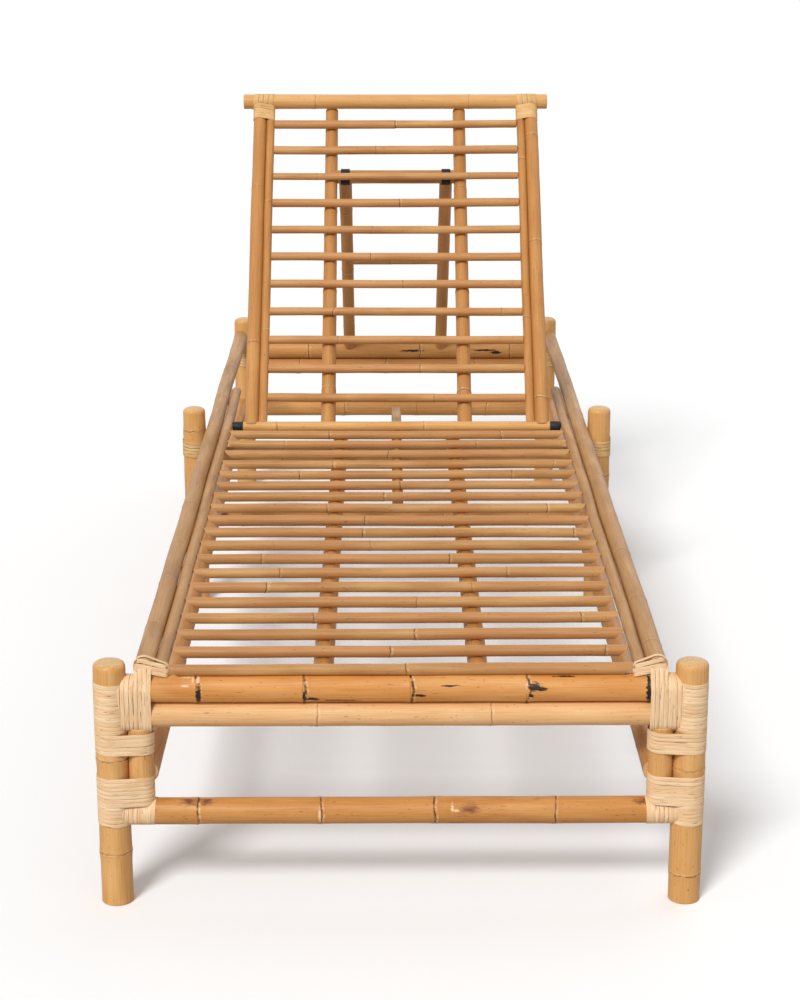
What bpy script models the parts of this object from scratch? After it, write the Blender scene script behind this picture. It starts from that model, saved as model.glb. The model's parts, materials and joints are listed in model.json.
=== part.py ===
"""Rattan sun lounger: a pole frame on six posts, a slatted seat deck and a slatted back held up by a prop.

Metres, +Z up. The foot end faces -Y, and the origin is on the floor under the middle of the frame.
"""

import math

import bmesh
import bpy
from mathutils import Matrix, Vector

# Fits
GAP = 0.0003
RUNNING_CLEARANCE = 0.0004

# Posts
FRAME_LENGTH = 1.980
POST_DIAMETER = 0.042
FRONT_POST_SPREAD = 0.751
REAR_POST_SPREAD = 0.648
FRONT_POST_HEIGHT = 0.339
MIDDLE_POST_HEIGHT = 0.367
REAR_POST_HEIGHT = 0.370
MIDDLE_POST_SETBACK = 1.214
POST_FOOT_CHAMFER = 0.003
POST_DOME_HEIGHT = 0.012
POST_DOME_SHOULDER_HEIGHT = 0.0072
POST_DOME_SHOULDER_DIAMETER = 0.037
POST_DOME_TOP_DIAMETER = 0.022

# Rails and stretchers across the ends
TOP_RAIL_DIAMETER = 0.036
TOP_RAIL_HEIGHT = 0.300
SECOND_RAIL_DIAMETER = 0.0335
STRETCHER_DIAMETER = 0.035
FRONT_STRETCHER_HEIGHT = 0.128
REAR_STRETCHER_HEIGHT = 0.172
STRUT_DIAMETER = 0.032

# Poles along the sides, and the two that cross under the middle
SIDE_RAIL_DIAMETER = 0.0265
SIDE_RAIL_SPREAD = 0.660
SIDE_RAIL_OVERHANG = 0.006
INNER_RAIL_DIAMETER = 0.018
INNER_RAIL_PAST_PIVOT = 0.260
SIDE_STRETCHER_DIAMETER = 0.027
SIDE_STRETCHER_HEIGHT = 0.183
MIDDLE_STRETCHER_DIAMETER = 0.028
CROSS_RAIL_DIAMETER = 0.029

# Seat deck
SLAT_DIAMETER = 0.014
SEAT_SLATS = 19
SEAT_SLAT_PITCH = 0.0651
SEAT_BEARER_DIAMETER = 0.027
SEAT_BEARER_SPREAD = 0.203
CENTRE_BEARER_DIAMETER = 0.018
CENTRE_BEARER_LENGTH = 0.620
CENTRE_BEARER_TAIL = 0.180
SLAT_NOTCH = 0.001

# Pivot of the back
PIVOT_SETBACK = 1.2317
PIVOT_BAR_DIAMETER = 0.018
BUSH_DIAMETER = 0.0185
BUSH_LENGTH = 0.0185
PIN_DIAMETER = 0.007
PIN_LENGTH = 0.006

# Back
BACK_ANGLE = 46.8
BACK_LENGTH = 0.7268
BACK_WIDTH = 0.555
BACK_RAIL_DIAMETER = 0.029
BACK_RAIL_LENGTH = 0.596
STILE_DIAMETER = 0.0255
INNER_STILE_DIAMETER = 0.015
BACK_BEARER_DIAMETER = 0.025
BACK_BEARER_SPREAD = 0.250
BACK_SLATS = 11
BACK_SLAT_START = 0.060
BACK_SLAT_END = 0.0548

# Prop
HINGE_BAR_DISTANCE = 0.562
HINGE_BAR_DIAMETER = 0.026
SLEEVE_WALL = 0.0022
SLEEVE_LENGTH = 0.017
PROP_LEG_SPREAD = 0.195
PROP_LEG_DIAMETER = 0.023
PROP_CROSS_BAR_DIAMETER = 0.020
PROP_CROSS_BAR_DISTANCE = 0.249
PROP_FOOT_BEVEL = 25.0
PROP_FOOT_CLEARANCE = 0.0005

# Lashings of split cane
STRIP_WIDTH = 0.0082
STRIP_THICKNESS = 0.0015
TURN_PITCH = 0.00894
FRONT_POST_TURNS = 7
FRONT_PAIR_TURNS = 3
LOWER_PAIR_TURNS = 4
LOWER_POST_TURNS = 3
MIDDLE_TURNS = 3
MIDDLE_LASHING_DROP = 0.0123
REAR_TURNS = 3
REAR_LASHING_DROP = 0.0223
BACK_TURNS = 3

# Facets
POST_SIDES = 16
POLE_SIDES = 12
SLAT_SIDES = 10
END_CHAMFER = 0.0015

# Worked out from the values above
FRONT_Y = -FRAME_LENGTH / 2
REAR_Y = FRAME_LENGTH / 2
MIDDLE_Y = FRONT_Y + MIDDLE_POST_SETBACK
PIVOT_Y = FRONT_Y + PIVOT_SETBACK
POST_RADIUS = POST_DIAMETER / 2
WRAP_ROOM = STRIP_THICKNESS + 2 * GAP
FRONT_POST_X = FRONT_POST_SPREAD / 2
REAR_POST_X = REAR_POST_SPREAD / 2
SIDE_RAIL_X = SIDE_RAIL_SPREAD / 2
MIDDLE_POST_X = SIDE_RAIL_X + SIDE_RAIL_DIAMETER / 2 + WRAP_ROOM + GAP + POST_RADIUS
STRUT_X = FRONT_POST_X - POST_RADIUS - GAP - STRUT_DIAMETER / 2
RAIL_TOP = TOP_RAIL_HEIGHT + TOP_RAIL_DIAMETER / 2
SECOND_RAIL_HEIGHT = TOP_RAIL_HEIGHT - TOP_RAIL_DIAMETER / 2 - GAP - SECOND_RAIL_DIAMETER / 2
SECOND_RAIL_BOTTOM = SECOND_RAIL_HEIGHT - SECOND_RAIL_DIAMETER / 2
FRONT_STRETCHER_TOP = FRONT_STRETCHER_HEIGHT + STRETCHER_DIAMETER / 2
SIDE_RAIL_HEIGHT = RAIL_TOP + GAP + SIDE_RAIL_DIAMETER / 2
MIDDLE_LASHING_TOP = RAIL_TOP + GAP - MIDDLE_LASHING_DROP
REAR_LASHING_TOP = RAIL_TOP + GAP - REAR_LASHING_DROP
INNER_RAIL_HEIGHT = RAIL_TOP + GAP + INNER_RAIL_DIAMETER / 2
INNER_RAIL_X = SIDE_RAIL_X - SIDE_RAIL_DIAMETER / 2 - GAP - INNER_RAIL_DIAMETER / 2
INNER_FACE_X = INNER_RAIL_X - INNER_RAIL_DIAMETER / 2 - GAP
SLAT_HEIGHT = RAIL_TOP + GAP + SLAT_DIAMETER / 2
SLAT_BOTTOM = SLAT_HEIGHT - SLAT_DIAMETER / 2
SEAT_BEARER_HEIGHT = SLAT_BOTTOM + SLAT_NOTCH - SEAT_BEARER_DIAMETER / 2
CENTRE_BEARER_HEIGHT = SLAT_BOTTOM + SLAT_NOTCH - CENTRE_BEARER_DIAMETER / 2
CROSS_RAIL_HEIGHT = SEAT_BEARER_HEIGHT - SEAT_BEARER_DIAMETER / 2 - GAP - CROSS_RAIL_DIAMETER / 2
MIDDLE_STRETCHER_HEIGHT = (
    SIDE_STRETCHER_HEIGHT - SIDE_STRETCHER_DIAMETER / 2 - GAP - MIDDLE_STRETCHER_DIAMETER / 2
)
PIVOT_BAR_END_X = INNER_FACE_X - BUSH_LENGTH - GAP
STILE_X = BACK_WIDTH / 2 - STILE_DIAMETER / 2
INNER_STILE_X = STILE_X - STILE_DIAMETER / 2 - GAP - INNER_STILE_DIAMETER / 2
BACK_SLAT_END_X = INNER_STILE_X - INNER_STILE_DIAMETER / 2 - GAP
BACK_SLAT_PITCH = (BACK_LENGTH - BACK_SLAT_START - BACK_SLAT_END) / (BACK_SLATS - 1)
BACK_BEARER_X = BACK_BEARER_SPREAD / 2
BACK_BEARER_DEPTH = -(SLAT_DIAMETER / 2 + GAP + BACK_BEARER_DIAMETER / 2)
SLEEVE_RADIUS = HINGE_BAR_DIAMETER / 2 + RUNNING_CLEARANCE + SLEEVE_WALL
PROP_LEG_X = PROP_LEG_SPREAD / 2

CANE = (0.62, 0.36, 0.13)
PEEL = (0.80, 0.60, 0.35)
BLACK = (0.02, 0.02, 0.022)


def clear_scene():
    for old in list(bpy.data.objects):
        bpy.data.objects.remove(old, do_unlink=True)


def finish_material(name, colour, roughness):
    made = bpy.data.materials.new(name)
    made.use_nodes = True
    shader = made.node_tree.nodes["Principled BSDF"]
    shader.inputs["Base Color"].default_value = (*colour, 1.0)
    shader.inputs["Roughness"].default_value = roughness
    shader.inputs["Metallic"].default_value = 0.0
    return made


def place(name, bm, finish=None, parent=None, location=(0, 0, 0), rotation=None):
    """The bmesh as a named object; without a finish it is a hidden cutter."""
    bmesh.ops.recalc_face_normals(bm, faces=bm.faces)
    mesh = bpy.data.meshes.new(name)
    bm.to_mesh(mesh)
    bm.free()
    mesh.shade_smooth()
    mesh.set_sharp_from_angle(angle=math.radians(40))
    made = bpy.data.objects.new(name, mesh)
    bpy.context.collection.objects.link(made)
    made.parent = parent
    made.location = location
    if rotation:
        made.rotation_mode = "QUATERNION"
        made.rotation_quaternion = rotation
    if finish:
        mesh.materials.append(finish)
    else:
        made.hide_render = True
        made.display_type = "WIRE"
    return made


def axis_empty(name, location, turn, parent=None):
    """An empty on a joint's axis, turned about X by degrees."""
    made = bpy.data.objects.new(name, None)
    bpy.context.collection.objects.link(made)
    made.parent = parent
    made.location = location
    made.rotation_euler = (math.radians(turn), 0, 0)
    return made


def turn_profile(bm, stations, sides, matrix=Matrix.Identity(4)):
    """A turned solid along Z through (height, radius) stations, grown from a disc by extrusion."""
    height, radius = stations[0]
    disc = bmesh.ops.create_circle(bm, cap_ends=True, segments=sides, radius=radius)
    ring = disc["verts"]
    whole = list(ring)
    face = ring[0].link_faces[0]
    for vert in ring:
        vert.co.z = height
    for step, (next_height, next_radius) in enumerate(stations[1:]):
        grown = bmesh.ops.extrude_face_region(bm, geom=[face])["geom"]
        ring = [item for item in grown if isinstance(item, bmesh.types.BMVert)]
        if step:
            bmesh.ops.delete(bm, geom=[face], context="FACES_ONLY")
        face = next(item for item in grown if isinstance(item, bmesh.types.BMFace))
        for vert in ring:
            vert.co.x *= next_radius / radius
            vert.co.y *= next_radius / radius
            vert.co.z = next_height
        radius = next_radius
        whole.extend(ring)
    bmesh.ops.transform(bm, matrix=matrix, verts=whole)


def pole_stations(length, radius, chamfer):
    if not chamfer:
        return [(0, radius), (length, radius)]
    small = radius - chamfer
    return [(0, small), (chamfer, radius), (length - chamfer, radius), (length, small)]


def aim(start, end):
    """Length and rotation of a pole that runs from start to end."""
    along = Vector(end) - Vector(start)
    return along.length, Vector((0, 0, 1)).rotation_difference(along)


def pole(name, start, end, diameter, finish=None, parent=None, sides=POLE_SIDES, chamfer=0.0):
    length, rotation = aim(start, end)
    bm = bmesh.new()
    turn_profile(bm, pole_stations(length, diameter / 2, chamfer), sides)
    return place(name, bm, finish, parent, start, rotation)


def cross_pole(name, half, y, z, diameter, finish=None, parent=None, sides=POLE_SIDES, chamfer=0.0):
    """A pole along X, as long on the left as on the right."""
    return pole(name, (-half, y, z), (half, y, z), diameter, finish, parent, sides, chamfer)


def boolean(target, operand, operation="DIFFERENCE"):
    cut = target.modifiers.new(operand.name, "BOOLEAN")
    cut.operation = operation
    cut.object = operand
    cut.solver = "EXACT"


def cope(target, start, end, diameter, room=GAP, parent=None, sides=POLE_SIDES):
    """Shapes a pole's end to the pole that it meets, leaving room between them."""
    around = diameter + 2 * room
    cutter = pole(f"cutter_{target.name}", start, end, around, None, parent, sides)
    boolean(target, cutter)


def sides_of(name):
    """The left and the right copy of a piece, with the sign of their X."""
    return ((f"{name}_left", -1), (f"{name}_right", 1))


def hull(points):
    """Indices of the points on the convex outline, counter-clockwise."""
    order = sorted(range(len(points)), key=lambda i: points[i])

    def half(indices):
        chain = []
        for i in indices:
            while len(chain) > 1:
                (ax, ay), (bx, by), (cx, cy) = points[chain[-2]], points[chain[-1]], points[i]
                if (bx - ax) * (cy - ay) - (by - ay) * (cx - ax) > 1e-12:
                    break
                chain.pop()
            chain.append(i)
        return chain[:-1]

    return half(order) + half(reversed(order))


def loop_around(circles):
    """One turn round the circles (x, radius): a (x, radius, direction) for each corner, from +X round."""
    corners = []
    for x, radius in circles:
        for k in range(POST_SIDES):
            turn = 2 * math.pi * k / POST_SIDES
            corners.append((x, radius, (math.cos(turn), math.sin(turn))))
    outline = [(x + radius * way[0], radius * way[1]) for x, radius, way in corners]
    turn = [corners[i] for i in hull([(round(a, 9), round(b, 9)) for a, b in outline])]
    first = max(range(len(turn)), key=lambda i: turn[i][0] + turn[i][1] * turn[i][2][0])
    return turn[first:] + turn[:first]


def strip_ring(corner, side, height, width):
    """The four corners of a flat strip where it lies on one corner of a turn."""
    x, radius, way = corner
    ring = []
    for out, up in ((GAP, -1), (GAP, 1), (GAP + STRIP_THICKNESS, 1), (GAP + STRIP_THICKNESS, -1)):
        reach = radius + out
        ring.append(Vector((side * (x + reach * way[0]), reach * way[1], height + up * width / 2)))
    return ring


def least_gap(rings, steps_apart):
    """The shortest way from the strip's lower edge to the upper edge of a later turn."""
    least = math.inf
    for i, ring in enumerate(rings):
        for later in rings[i + steps_apart:]:
            for low in (ring[0], ring[3]):
                least = min(least, (low - later[1]).length, (low - later[2]).length)
    return least


def lashing(name, runs, side, top, finish, parent=None, location=(0, 0, 0), rotation=None):
    """One unbroken strip wound downwards; runs holds (circles, turns) in the order that it takes them."""
    rings = []
    height = top
    for circles, turns in runs:
        loop = loop_around(circles)
        for _ in range(turns):
            for corner in loop:
                rings.append(strip_ring(corner, side, height, STRIP_WIDTH))
                height -= TURN_PITCH / len(loop)
    rings.append(strip_ring(loop[0], side, height, STRIP_WIDTH))
    gap = least_gap(rings, POST_SIDES // 2)
    print(f"{name}: least gap between turns {1000 * gap:.2f} mm")
    bm = bmesh.new()
    before = None
    for ring in rings:
        verts = [bm.verts.new(point) for point in ring]
        if before:
            for k in range(4):
                bm.faces.new((before[k], before[(k + 1) % 4], verts[(k + 1) % 4], verts[k]))
        else:
            bm.faces.new(verts)
        before = verts
    bm.faces.new(before)
    return place(name, bm, finish, parent, location, rotation)


def lashing_prism(name, circles, side, low, high, location):
    """A cutter with the outline of a lashing, for poles that end at it."""
    bm = bmesh.new()
    base = []
    for x, radius, way in loop_around(circles):
        reach = radius + WRAP_ROOM
        base.append(bm.verts.new((side * (x + reach * way[0]), reach * way[1], low)))
    face = bm.faces.new(base)
    grown = bmesh.ops.extrude_face_region(bm, geom=[face])["geom"]
    risen = [item for item in grown if isinstance(item, bmesh.types.BMVert)]
    bmesh.ops.translate(bm, verts=risen, vec=(0, 0, high - low))
    return place(name, bm, None, None, location)


def post(name, x, y, height, finish):
    bm = bmesh.new()
    shoulder = height - POST_DOME_HEIGHT
    stations = [
        (0, POST_RADIUS - POST_FOOT_CHAMFER),
        (POST_FOOT_CHAMFER, POST_RADIUS),
        (shoulder, POST_RADIUS),
        (shoulder + POST_DOME_SHOULDER_HEIGHT, POST_DOME_SHOULDER_DIAMETER / 2),
        (height, POST_DOME_TOP_DIAMETER / 2),
    ]
    turn_profile(bm, stations, POST_SIDES)
    return place(name, bm, finish, None, (x, y, 0))


def cope_to_posts(rail, x, y, room):
    for side in (-1, 1):
        foot = (side * x, y, 0)
        head = (side * x, y, FRONT_POST_HEIGHT + REAR_POST_HEIGHT)
        cope(rail, foot, head, POST_DIAMETER, room, None, POST_SIDES)


def end_frames(cane):
    """Posts, and the poles that cross the foot end, the middle and the head end."""
    for name, side in sides_of("front_post"):
        post(name, side * FRONT_POST_X, FRONT_Y, FRONT_POST_HEIGHT, cane)
    for name, side in sides_of("middle_post"):
        post(name, side * MIDDLE_POST_X, MIDDLE_Y, MIDDLE_POST_HEIGHT, cane)
    for name, side in sides_of("rear_post"):
        post(name, side * REAR_POST_X, REAR_Y, REAR_POST_HEIGHT, cane)
    crossings = (
        ("front_top_rail", FRONT_POST_X, FRONT_Y, TOP_RAIL_HEIGHT, TOP_RAIL_DIAMETER),
        ("front_second_rail", FRONT_POST_X, FRONT_Y, SECOND_RAIL_HEIGHT, SECOND_RAIL_DIAMETER),
        ("front_stretcher", FRONT_POST_X, FRONT_Y, FRONT_STRETCHER_HEIGHT, STRETCHER_DIAMETER),
        ("middle_cross_rail", MIDDLE_POST_X, MIDDLE_Y, CROSS_RAIL_HEIGHT, CROSS_RAIL_DIAMETER),
        ("middle_stretcher", MIDDLE_POST_X, MIDDLE_Y, MIDDLE_STRETCHER_HEIGHT, MIDDLE_STRETCHER_DIAMETER),
        ("rear_top_rail", REAR_POST_X, REAR_Y, TOP_RAIL_HEIGHT, TOP_RAIL_DIAMETER),
        ("rear_second_rail", REAR_POST_X, REAR_Y, SECOND_RAIL_HEIGHT, SECOND_RAIL_DIAMETER),
        ("rear_stretcher", REAR_POST_X, REAR_Y, REAR_STRETCHER_HEIGHT, STRETCHER_DIAMETER),
    )
    for name, x, y, z, diameter in crossings:
        rail = cross_pole(name, x, y, z, diameter, cane)
        lashed = name not in ("middle_stretcher", "rear_stretcher")
        cope_to_posts(rail, x, y, WRAP_ROOM if lashed else GAP)
    for name, side in sides_of("front_strut"):
        foot = (side * STRUT_X, FRONT_Y, FRONT_STRETCHER_TOP + GAP)
        head = (side * STRUT_X, FRONT_Y, SECOND_RAIL_BOTTOM - GAP)
        pole(name, foot, head, STRUT_DIAMETER, cane, None, POST_SIDES)


def side_poles(cane):
    """Side rails, inner rails and the low stretchers that run from the foot end to the head end."""
    front_end = FRONT_Y - SIDE_RAIL_OVERHANG
    pair = ((FRONT_POST_X, POST_RADIUS), (STRUT_X, STRUT_DIAMETER / 2))
    for name, side in sides_of("side_rail"):
        start = (side * SIDE_RAIL_X, front_end, SIDE_RAIL_HEIGHT)
        end = (side * SIDE_RAIL_X, REAR_Y, SIDE_RAIL_HEIGHT)
        rail = pole(name, start, end, SIDE_RAIL_DIAMETER, cane)
        cope(rail, (side * REAR_POST_X, REAR_Y, 0), (side * REAR_POST_X, REAR_Y, REAR_POST_HEIGHT),
             POST_DIAMETER, GAP, None, POST_SIDES)
    for name, side in sides_of("inner_rail"):
        start = (side * INNER_RAIL_X, front_end, INNER_RAIL_HEIGHT)
        end = (side * INNER_RAIL_X, PIVOT_Y + INNER_RAIL_PAST_PIVOT, INNER_RAIL_HEIGHT)
        rail = pole(name, start, end, INNER_RAIL_DIAMETER, cane)
        mouth = (side * PIVOT_BAR_END_X, PIVOT_Y, SLAT_HEIGHT)
        depth = (side * (INNER_FACE_X + PIN_LENGTH + RUNNING_CLEARANCE), PIVOT_Y, SLAT_HEIGHT)
        cope(rail, mouth, depth, PIN_DIAMETER, RUNNING_CLEARANCE)
    for name, side in sides_of("side_stretcher"):
        start = (side * SIDE_RAIL_X, FRONT_Y, SIDE_STRETCHER_HEIGHT)
        end = (side * SIDE_RAIL_X, REAR_Y, SIDE_STRETCHER_HEIGHT)
        stretcher = pole(name, start, end, SIDE_STRETCHER_DIAMETER, cane)
        cope(stretcher, (side * REAR_POST_X, REAR_Y, 0), (side * REAR_POST_X, REAR_Y, REAR_POST_HEIGHT),
             POST_DIAMETER, GAP, None, POST_SIDES)
        low, high = FRONT_STRETCHER_TOP, SECOND_RAIL_BOTTOM
        room = lashing_prism(f"cutter_front_{name}", pair, side, low, high, (0, FRONT_Y, 0))
        boolean(stretcher, room)


def seat_deck(cane):
    """Slats nailed over three bearers; the deck is one piece because the slats are notched into them."""
    bearers = bmesh.new()
    front = FRONT_Y
    back = PIVOT_Y - PIVOT_BAR_DIAMETER / 2 - RUNNING_CLEARANCE
    tail = PIVOT_Y + CENTRE_BEARER_TAIL
    runs = [
        (side * SEAT_BEARER_SPREAD / 2, front, back, SEAT_BEARER_HEIGHT, SEAT_BEARER_DIAMETER)
        for side in (-1, 1)
    ]
    runs.append((0.0, tail - CENTRE_BEARER_LENGTH, tail, CENTRE_BEARER_HEIGHT, CENTRE_BEARER_DIAMETER))
    for x, start, end, height, diameter in runs:
        length, rotation = aim((x, start, height), (x, end, height))
        matrix = Matrix.Translation((x, start, height)) @ rotation.to_matrix().to_4x4()
        turn_profile(bearers, pole_stations(length, diameter / 2, 0.0), POLE_SIDES, matrix)
    deck = place("seat_deck", bearers, cane)
    cope(deck, (-INNER_RAIL_X, FRONT_Y, TOP_RAIL_HEIGHT), (INNER_RAIL_X, FRONT_Y, TOP_RAIL_HEIGHT),
         TOP_RAIL_DIAMETER, GAP)
    planed = bmesh.new()
    pivot_bottom = SLAT_HEIGHT - PIVOT_BAR_DIAMETER / 2 - 2 * RUNNING_CLEARANCE
    planed_length = CENTRE_BEARER_TAIL + PIVOT_BAR_DIAMETER
    size = Matrix.Diagonal((2 * CENTRE_BEARER_DIAMETER, planed_length, CENTRE_BEARER_DIAMETER, 1))
    middle = (0, tail + PIVOT_BAR_DIAMETER / 2 - planed_length / 2, pivot_bottom + CENTRE_BEARER_DIAMETER / 2)
    bmesh.ops.create_cube(planed, size=1.0, matrix=Matrix.Translation(middle) @ size)
    boolean(deck, place("cutter_centre_bearer", planed))
    slats = bmesh.new()
    for i in range(SEAT_SLATS):
        start = Vector((-INNER_FACE_X, FRONT_Y + i * SEAT_SLAT_PITCH, SLAT_HEIGHT))
        length, rotation = aim(start, start + Vector((2 * INNER_FACE_X, 0, 0)))
        matrix = Matrix.Translation(start) @ rotation.to_matrix().to_4x4()
        turn_profile(slats, pole_stations(length, SLAT_DIAMETER / 2, 0.0), SLAT_SIDES, matrix)
    boolean(deck, place("cutter_seat_slats", slats), "UNION")


def back_frame(cane, rubber, pivot):
    """The back in its own frame: X across, Y up along it from the pivot, Z out of its face."""
    half_bar = PIVOT_BAR_DIAMETER / 2
    cross_pole("pivot_bar", PIVOT_BAR_END_X, 0, 0, PIVOT_BAR_DIAMETER, cane, pivot)
    for name, side in sides_of("pivot_bush"):
        bm = bmesh.new()
        pin_end = BUSH_LENGTH + GAP + PIN_LENGTH
        bush, pin = BUSH_DIAMETER / 2, PIN_DIAMETER / 2
        stations = [(0, bush), (BUSH_LENGTH, bush), (BUSH_LENGTH, pin), (pin_end, pin)]
        turn_profile(bm, stations, POLE_SIDES)
        start = Vector((side * (PIVOT_BAR_END_X + GAP), 0, 0))
        _, rotation = aim(start, start + Vector((side, 0, 0)))
        place(name, bm, rubber, pivot, start, rotation)
    cross_pole("back_top_rail", BACK_RAIL_LENGTH / 2, BACK_LENGTH, 0, BACK_RAIL_DIAMETER, cane, pivot,
               POLE_SIDES, END_CHAMFER)
    uprights = (
        ("back_stile", STILE_X, 0.0, STILE_DIAMETER, POST_SIDES),
        ("inner_stile", INNER_STILE_X, 0.0, INNER_STILE_DIAMETER, POST_SIDES),
        ("back_bearer", BACK_BEARER_X, BACK_BEARER_DEPTH, BACK_BEARER_DIAMETER, POLE_SIDES),
    )
    half_rail = BACK_RAIL_LENGTH / 2
    for base, x, depth, diameter, facets in uprights:
        foot = half_bar if depth else 0.0
        head = BACK_LENGTH - (BACK_RAIL_DIAMETER / 4 if depth else 0.0)
        for name, side in sides_of(base):
            upright = pole(name, (side * x, foot, depth), (side * x, head, depth), diameter, cane, pivot, facets)
            cope(upright, (-half_rail, 0, 0), (half_rail, 0, 0), PIVOT_BAR_DIAMETER, GAP, pivot)
            cope(upright, (-half_rail, BACK_LENGTH, 0), (half_rail, BACK_LENGTH, 0), BACK_RAIL_DIAMETER, GAP, pivot)
    for i in range(BACK_SLATS):
        along = BACK_SLAT_START + i * BACK_SLAT_PITCH
        cross_pole(f"back_slat_{i + 1:02d}", BACK_SLAT_END_X, along, 0, SLAT_DIAMETER, cane, pivot)
    bar = cross_pole("prop_hinge_bar", BACK_BEARER_X, HINGE_BAR_DISTANCE, BACK_BEARER_DEPTH, HINGE_BAR_DIAMETER,
                     cane, pivot, POST_SIDES)
    for side in (-1, 1):
        x = side * BACK_BEARER_X
        cope(bar, (x, 0, BACK_BEARER_DEPTH), (x, BACK_LENGTH, BACK_BEARER_DEPTH), BACK_BEARER_DIAMETER, GAP, pivot)


def prop_aim():
    """Distance from the prop's hinge to the rear top rail, and the leg's turn from the back, in degrees."""
    lean = math.radians(BACK_ANGLE)
    hinge_y = PIVOT_Y + HINGE_BAR_DISTANCE * math.cos(lean) - BACK_BEARER_DEPTH * math.sin(lean)
    hinge_z = SLAT_HEIGHT + HINGE_BAR_DISTANCE * math.sin(lean) + BACK_BEARER_DEPTH * math.cos(lean)
    across, up = REAR_Y - hinge_y, TOP_RAIL_HEIGHT - hinge_z
    return math.hypot(across, up), math.degrees(math.atan2(up, across)) - BACK_ANGLE


def prop(cane, rubber, hinge, reach):
    """The prop in its own frame: Y runs down the legs from the hinge bar to the rear top rail."""
    bevel = math.radians(PROP_FOOT_BEVEL)
    foot_normal = Vector((0, math.cos(bevel), math.sin(bevel)))
    foot_distance = reach - (TOP_RAIL_DIAMETER / 2 + PROP_FOOT_CLEARANCE) / math.cos(bevel)
    for name, side in sides_of("prop_leg"):
        x = side * PROP_LEG_X
        leg = pole(name, (x, 0, 0), (x, reach, 0), PROP_LEG_DIAMETER, cane, hinge)
        cope(leg, (x - PROP_LEG_DIAMETER, 0, 0), (x + PROP_LEG_DIAMETER, 0, 0), 2 * SLEEVE_RADIUS, GAP, hinge)
        start = Vector((x, foot_distance, 0))
        end = start + foot_normal * TOP_RAIL_DIAMETER * 2
        cutter = pole(f"cutter_foot_{name}", start, end, 3 * PROP_LEG_DIAMETER, None, hinge)
        boolean(leg, cutter)
    bar = cross_pole("prop_cross_bar", PROP_LEG_X, PROP_CROSS_BAR_DISTANCE, 0, PROP_CROSS_BAR_DIAMETER, cane, hinge)
    for side in (-1, 1):
        x = side * PROP_LEG_X
        cope(bar, (x, 0, 0), (x, reach, 0), PROP_LEG_DIAMETER, GAP, hinge)
    for name, side in sides_of("prop_sleeve"):
        x = side * PROP_LEG_X
        start, end = (x - SLEEVE_LENGTH / 2, 0, 0), (x + SLEEVE_LENGTH / 2, 0, 0)
        sleeve = pole(name, start, end, 2 * SLEEVE_RADIUS, rubber, hinge)
        cope(sleeve, (x - SLEEVE_LENGTH, 0, 0), (x + SLEEVE_LENGTH, 0, 0), HINGE_BAR_DIAMETER,
             RUNNING_CLEARANCE, hinge, POST_SIDES)


def lashings(peel, pivot):
    """Split cane wound round the corners of the frame and round the heads of the back's stiles."""
    front_post = ((FRONT_POST_X, POST_RADIUS),)
    pair = ((FRONT_POST_X, POST_RADIUS), (STRUT_X, STRUT_DIAMETER / 2))
    upper_change = SECOND_RAIL_BOTTOM - GAP - STRIP_WIDTH / 2 + TURN_PITCH / 2
    upper_top = upper_change + FRONT_POST_TURNS * TURN_PITCH
    lower_change = FRONT_STRETCHER_TOP + GAP + STRIP_WIDTH / 2 - TURN_PITCH / 2
    lower_top = lower_change + LOWER_PAIR_TURNS * TURN_PITCH
    at_front = (0, FRONT_Y, 0)
    for name, side in sides_of("front_upper_lashing"):
        lashing(name, ((front_post, FRONT_POST_TURNS), (pair, FRONT_PAIR_TURNS)), side, upper_top, peel,
                None, at_front)
    for name, side in sides_of("front_lower_lashing"):
        lashing(name, ((pair, LOWER_PAIR_TURNS), (front_post, LOWER_POST_TURNS)), side, lower_top, peel,
                None, at_front)
    for name, side in sides_of("middle_lashing"):
        lashing(name, ((((MIDDLE_POST_X, POST_RADIUS),), MIDDLE_TURNS),), side, MIDDLE_LASHING_TOP, peel,
                None, (0, MIDDLE_Y, 0))
    for name, side in sides_of("rear_lashing"):
        lashing(name, ((((REAR_POST_X, POST_RADIUS),), REAR_TURNS),), side, REAR_LASHING_TOP, peel,
                None, (0, REAR_Y, 0))
    stiles = ((STILE_X, STILE_DIAMETER / 2), (INNER_STILE_X, INNER_STILE_DIAMETER / 2))
    back_top = BACK_LENGTH - BACK_RAIL_DIAMETER / 2 - GAP - STRIP_WIDTH / 2
    _, up_the_back = aim((0, 0, 0), (0, 1, 0))
    for name, side in sides_of("back_lashing"):
        lashing(name, ((stiles, BACK_TURNS),), side, back_top, peel, pivot, (0, 0, 0), up_the_back)


def main():
    clear_scene()
    cane = finish_material("cane", CANE, 0.5)
    peel = finish_material("peel", PEEL, 0.6)
    rubber = finish_material("black_rubber", BLACK, 0.55)
    pivot = axis_empty("backrest_pivot", (0, PIVOT_Y, SLAT_HEIGHT), BACK_ANGLE)
    reach, turn = prop_aim()
    hinge = axis_empty("prop_hinge", (0, HINGE_BAR_DISTANCE, BACK_BEARER_DEPTH), turn, pivot)
    end_frames(cane)
    side_poles(cane)
    seat_deck(cane)
    back_frame(cane, rubber, pivot)
    prop(cane, rubber, hinge, reach)
    lashings(peel, pivot)
    bpy.context.view_layer.update()


main()
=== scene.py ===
# %% [markdown]
# # A rattan sun lounger
#
# The lounger is a frame of round cane poles, bound at its corners with strips of split cane. Its back turns
# on a bar across the middle, and a prop behind it rests on the rear rail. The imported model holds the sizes
# and the places, so this script measures each pole there and models it again with its knuckles, its fibre
# and its finish.

# %% Load the construction
import json
import math
import random

import bpy
import numpy as np
from mathutils import Matrix, Vector

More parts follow.
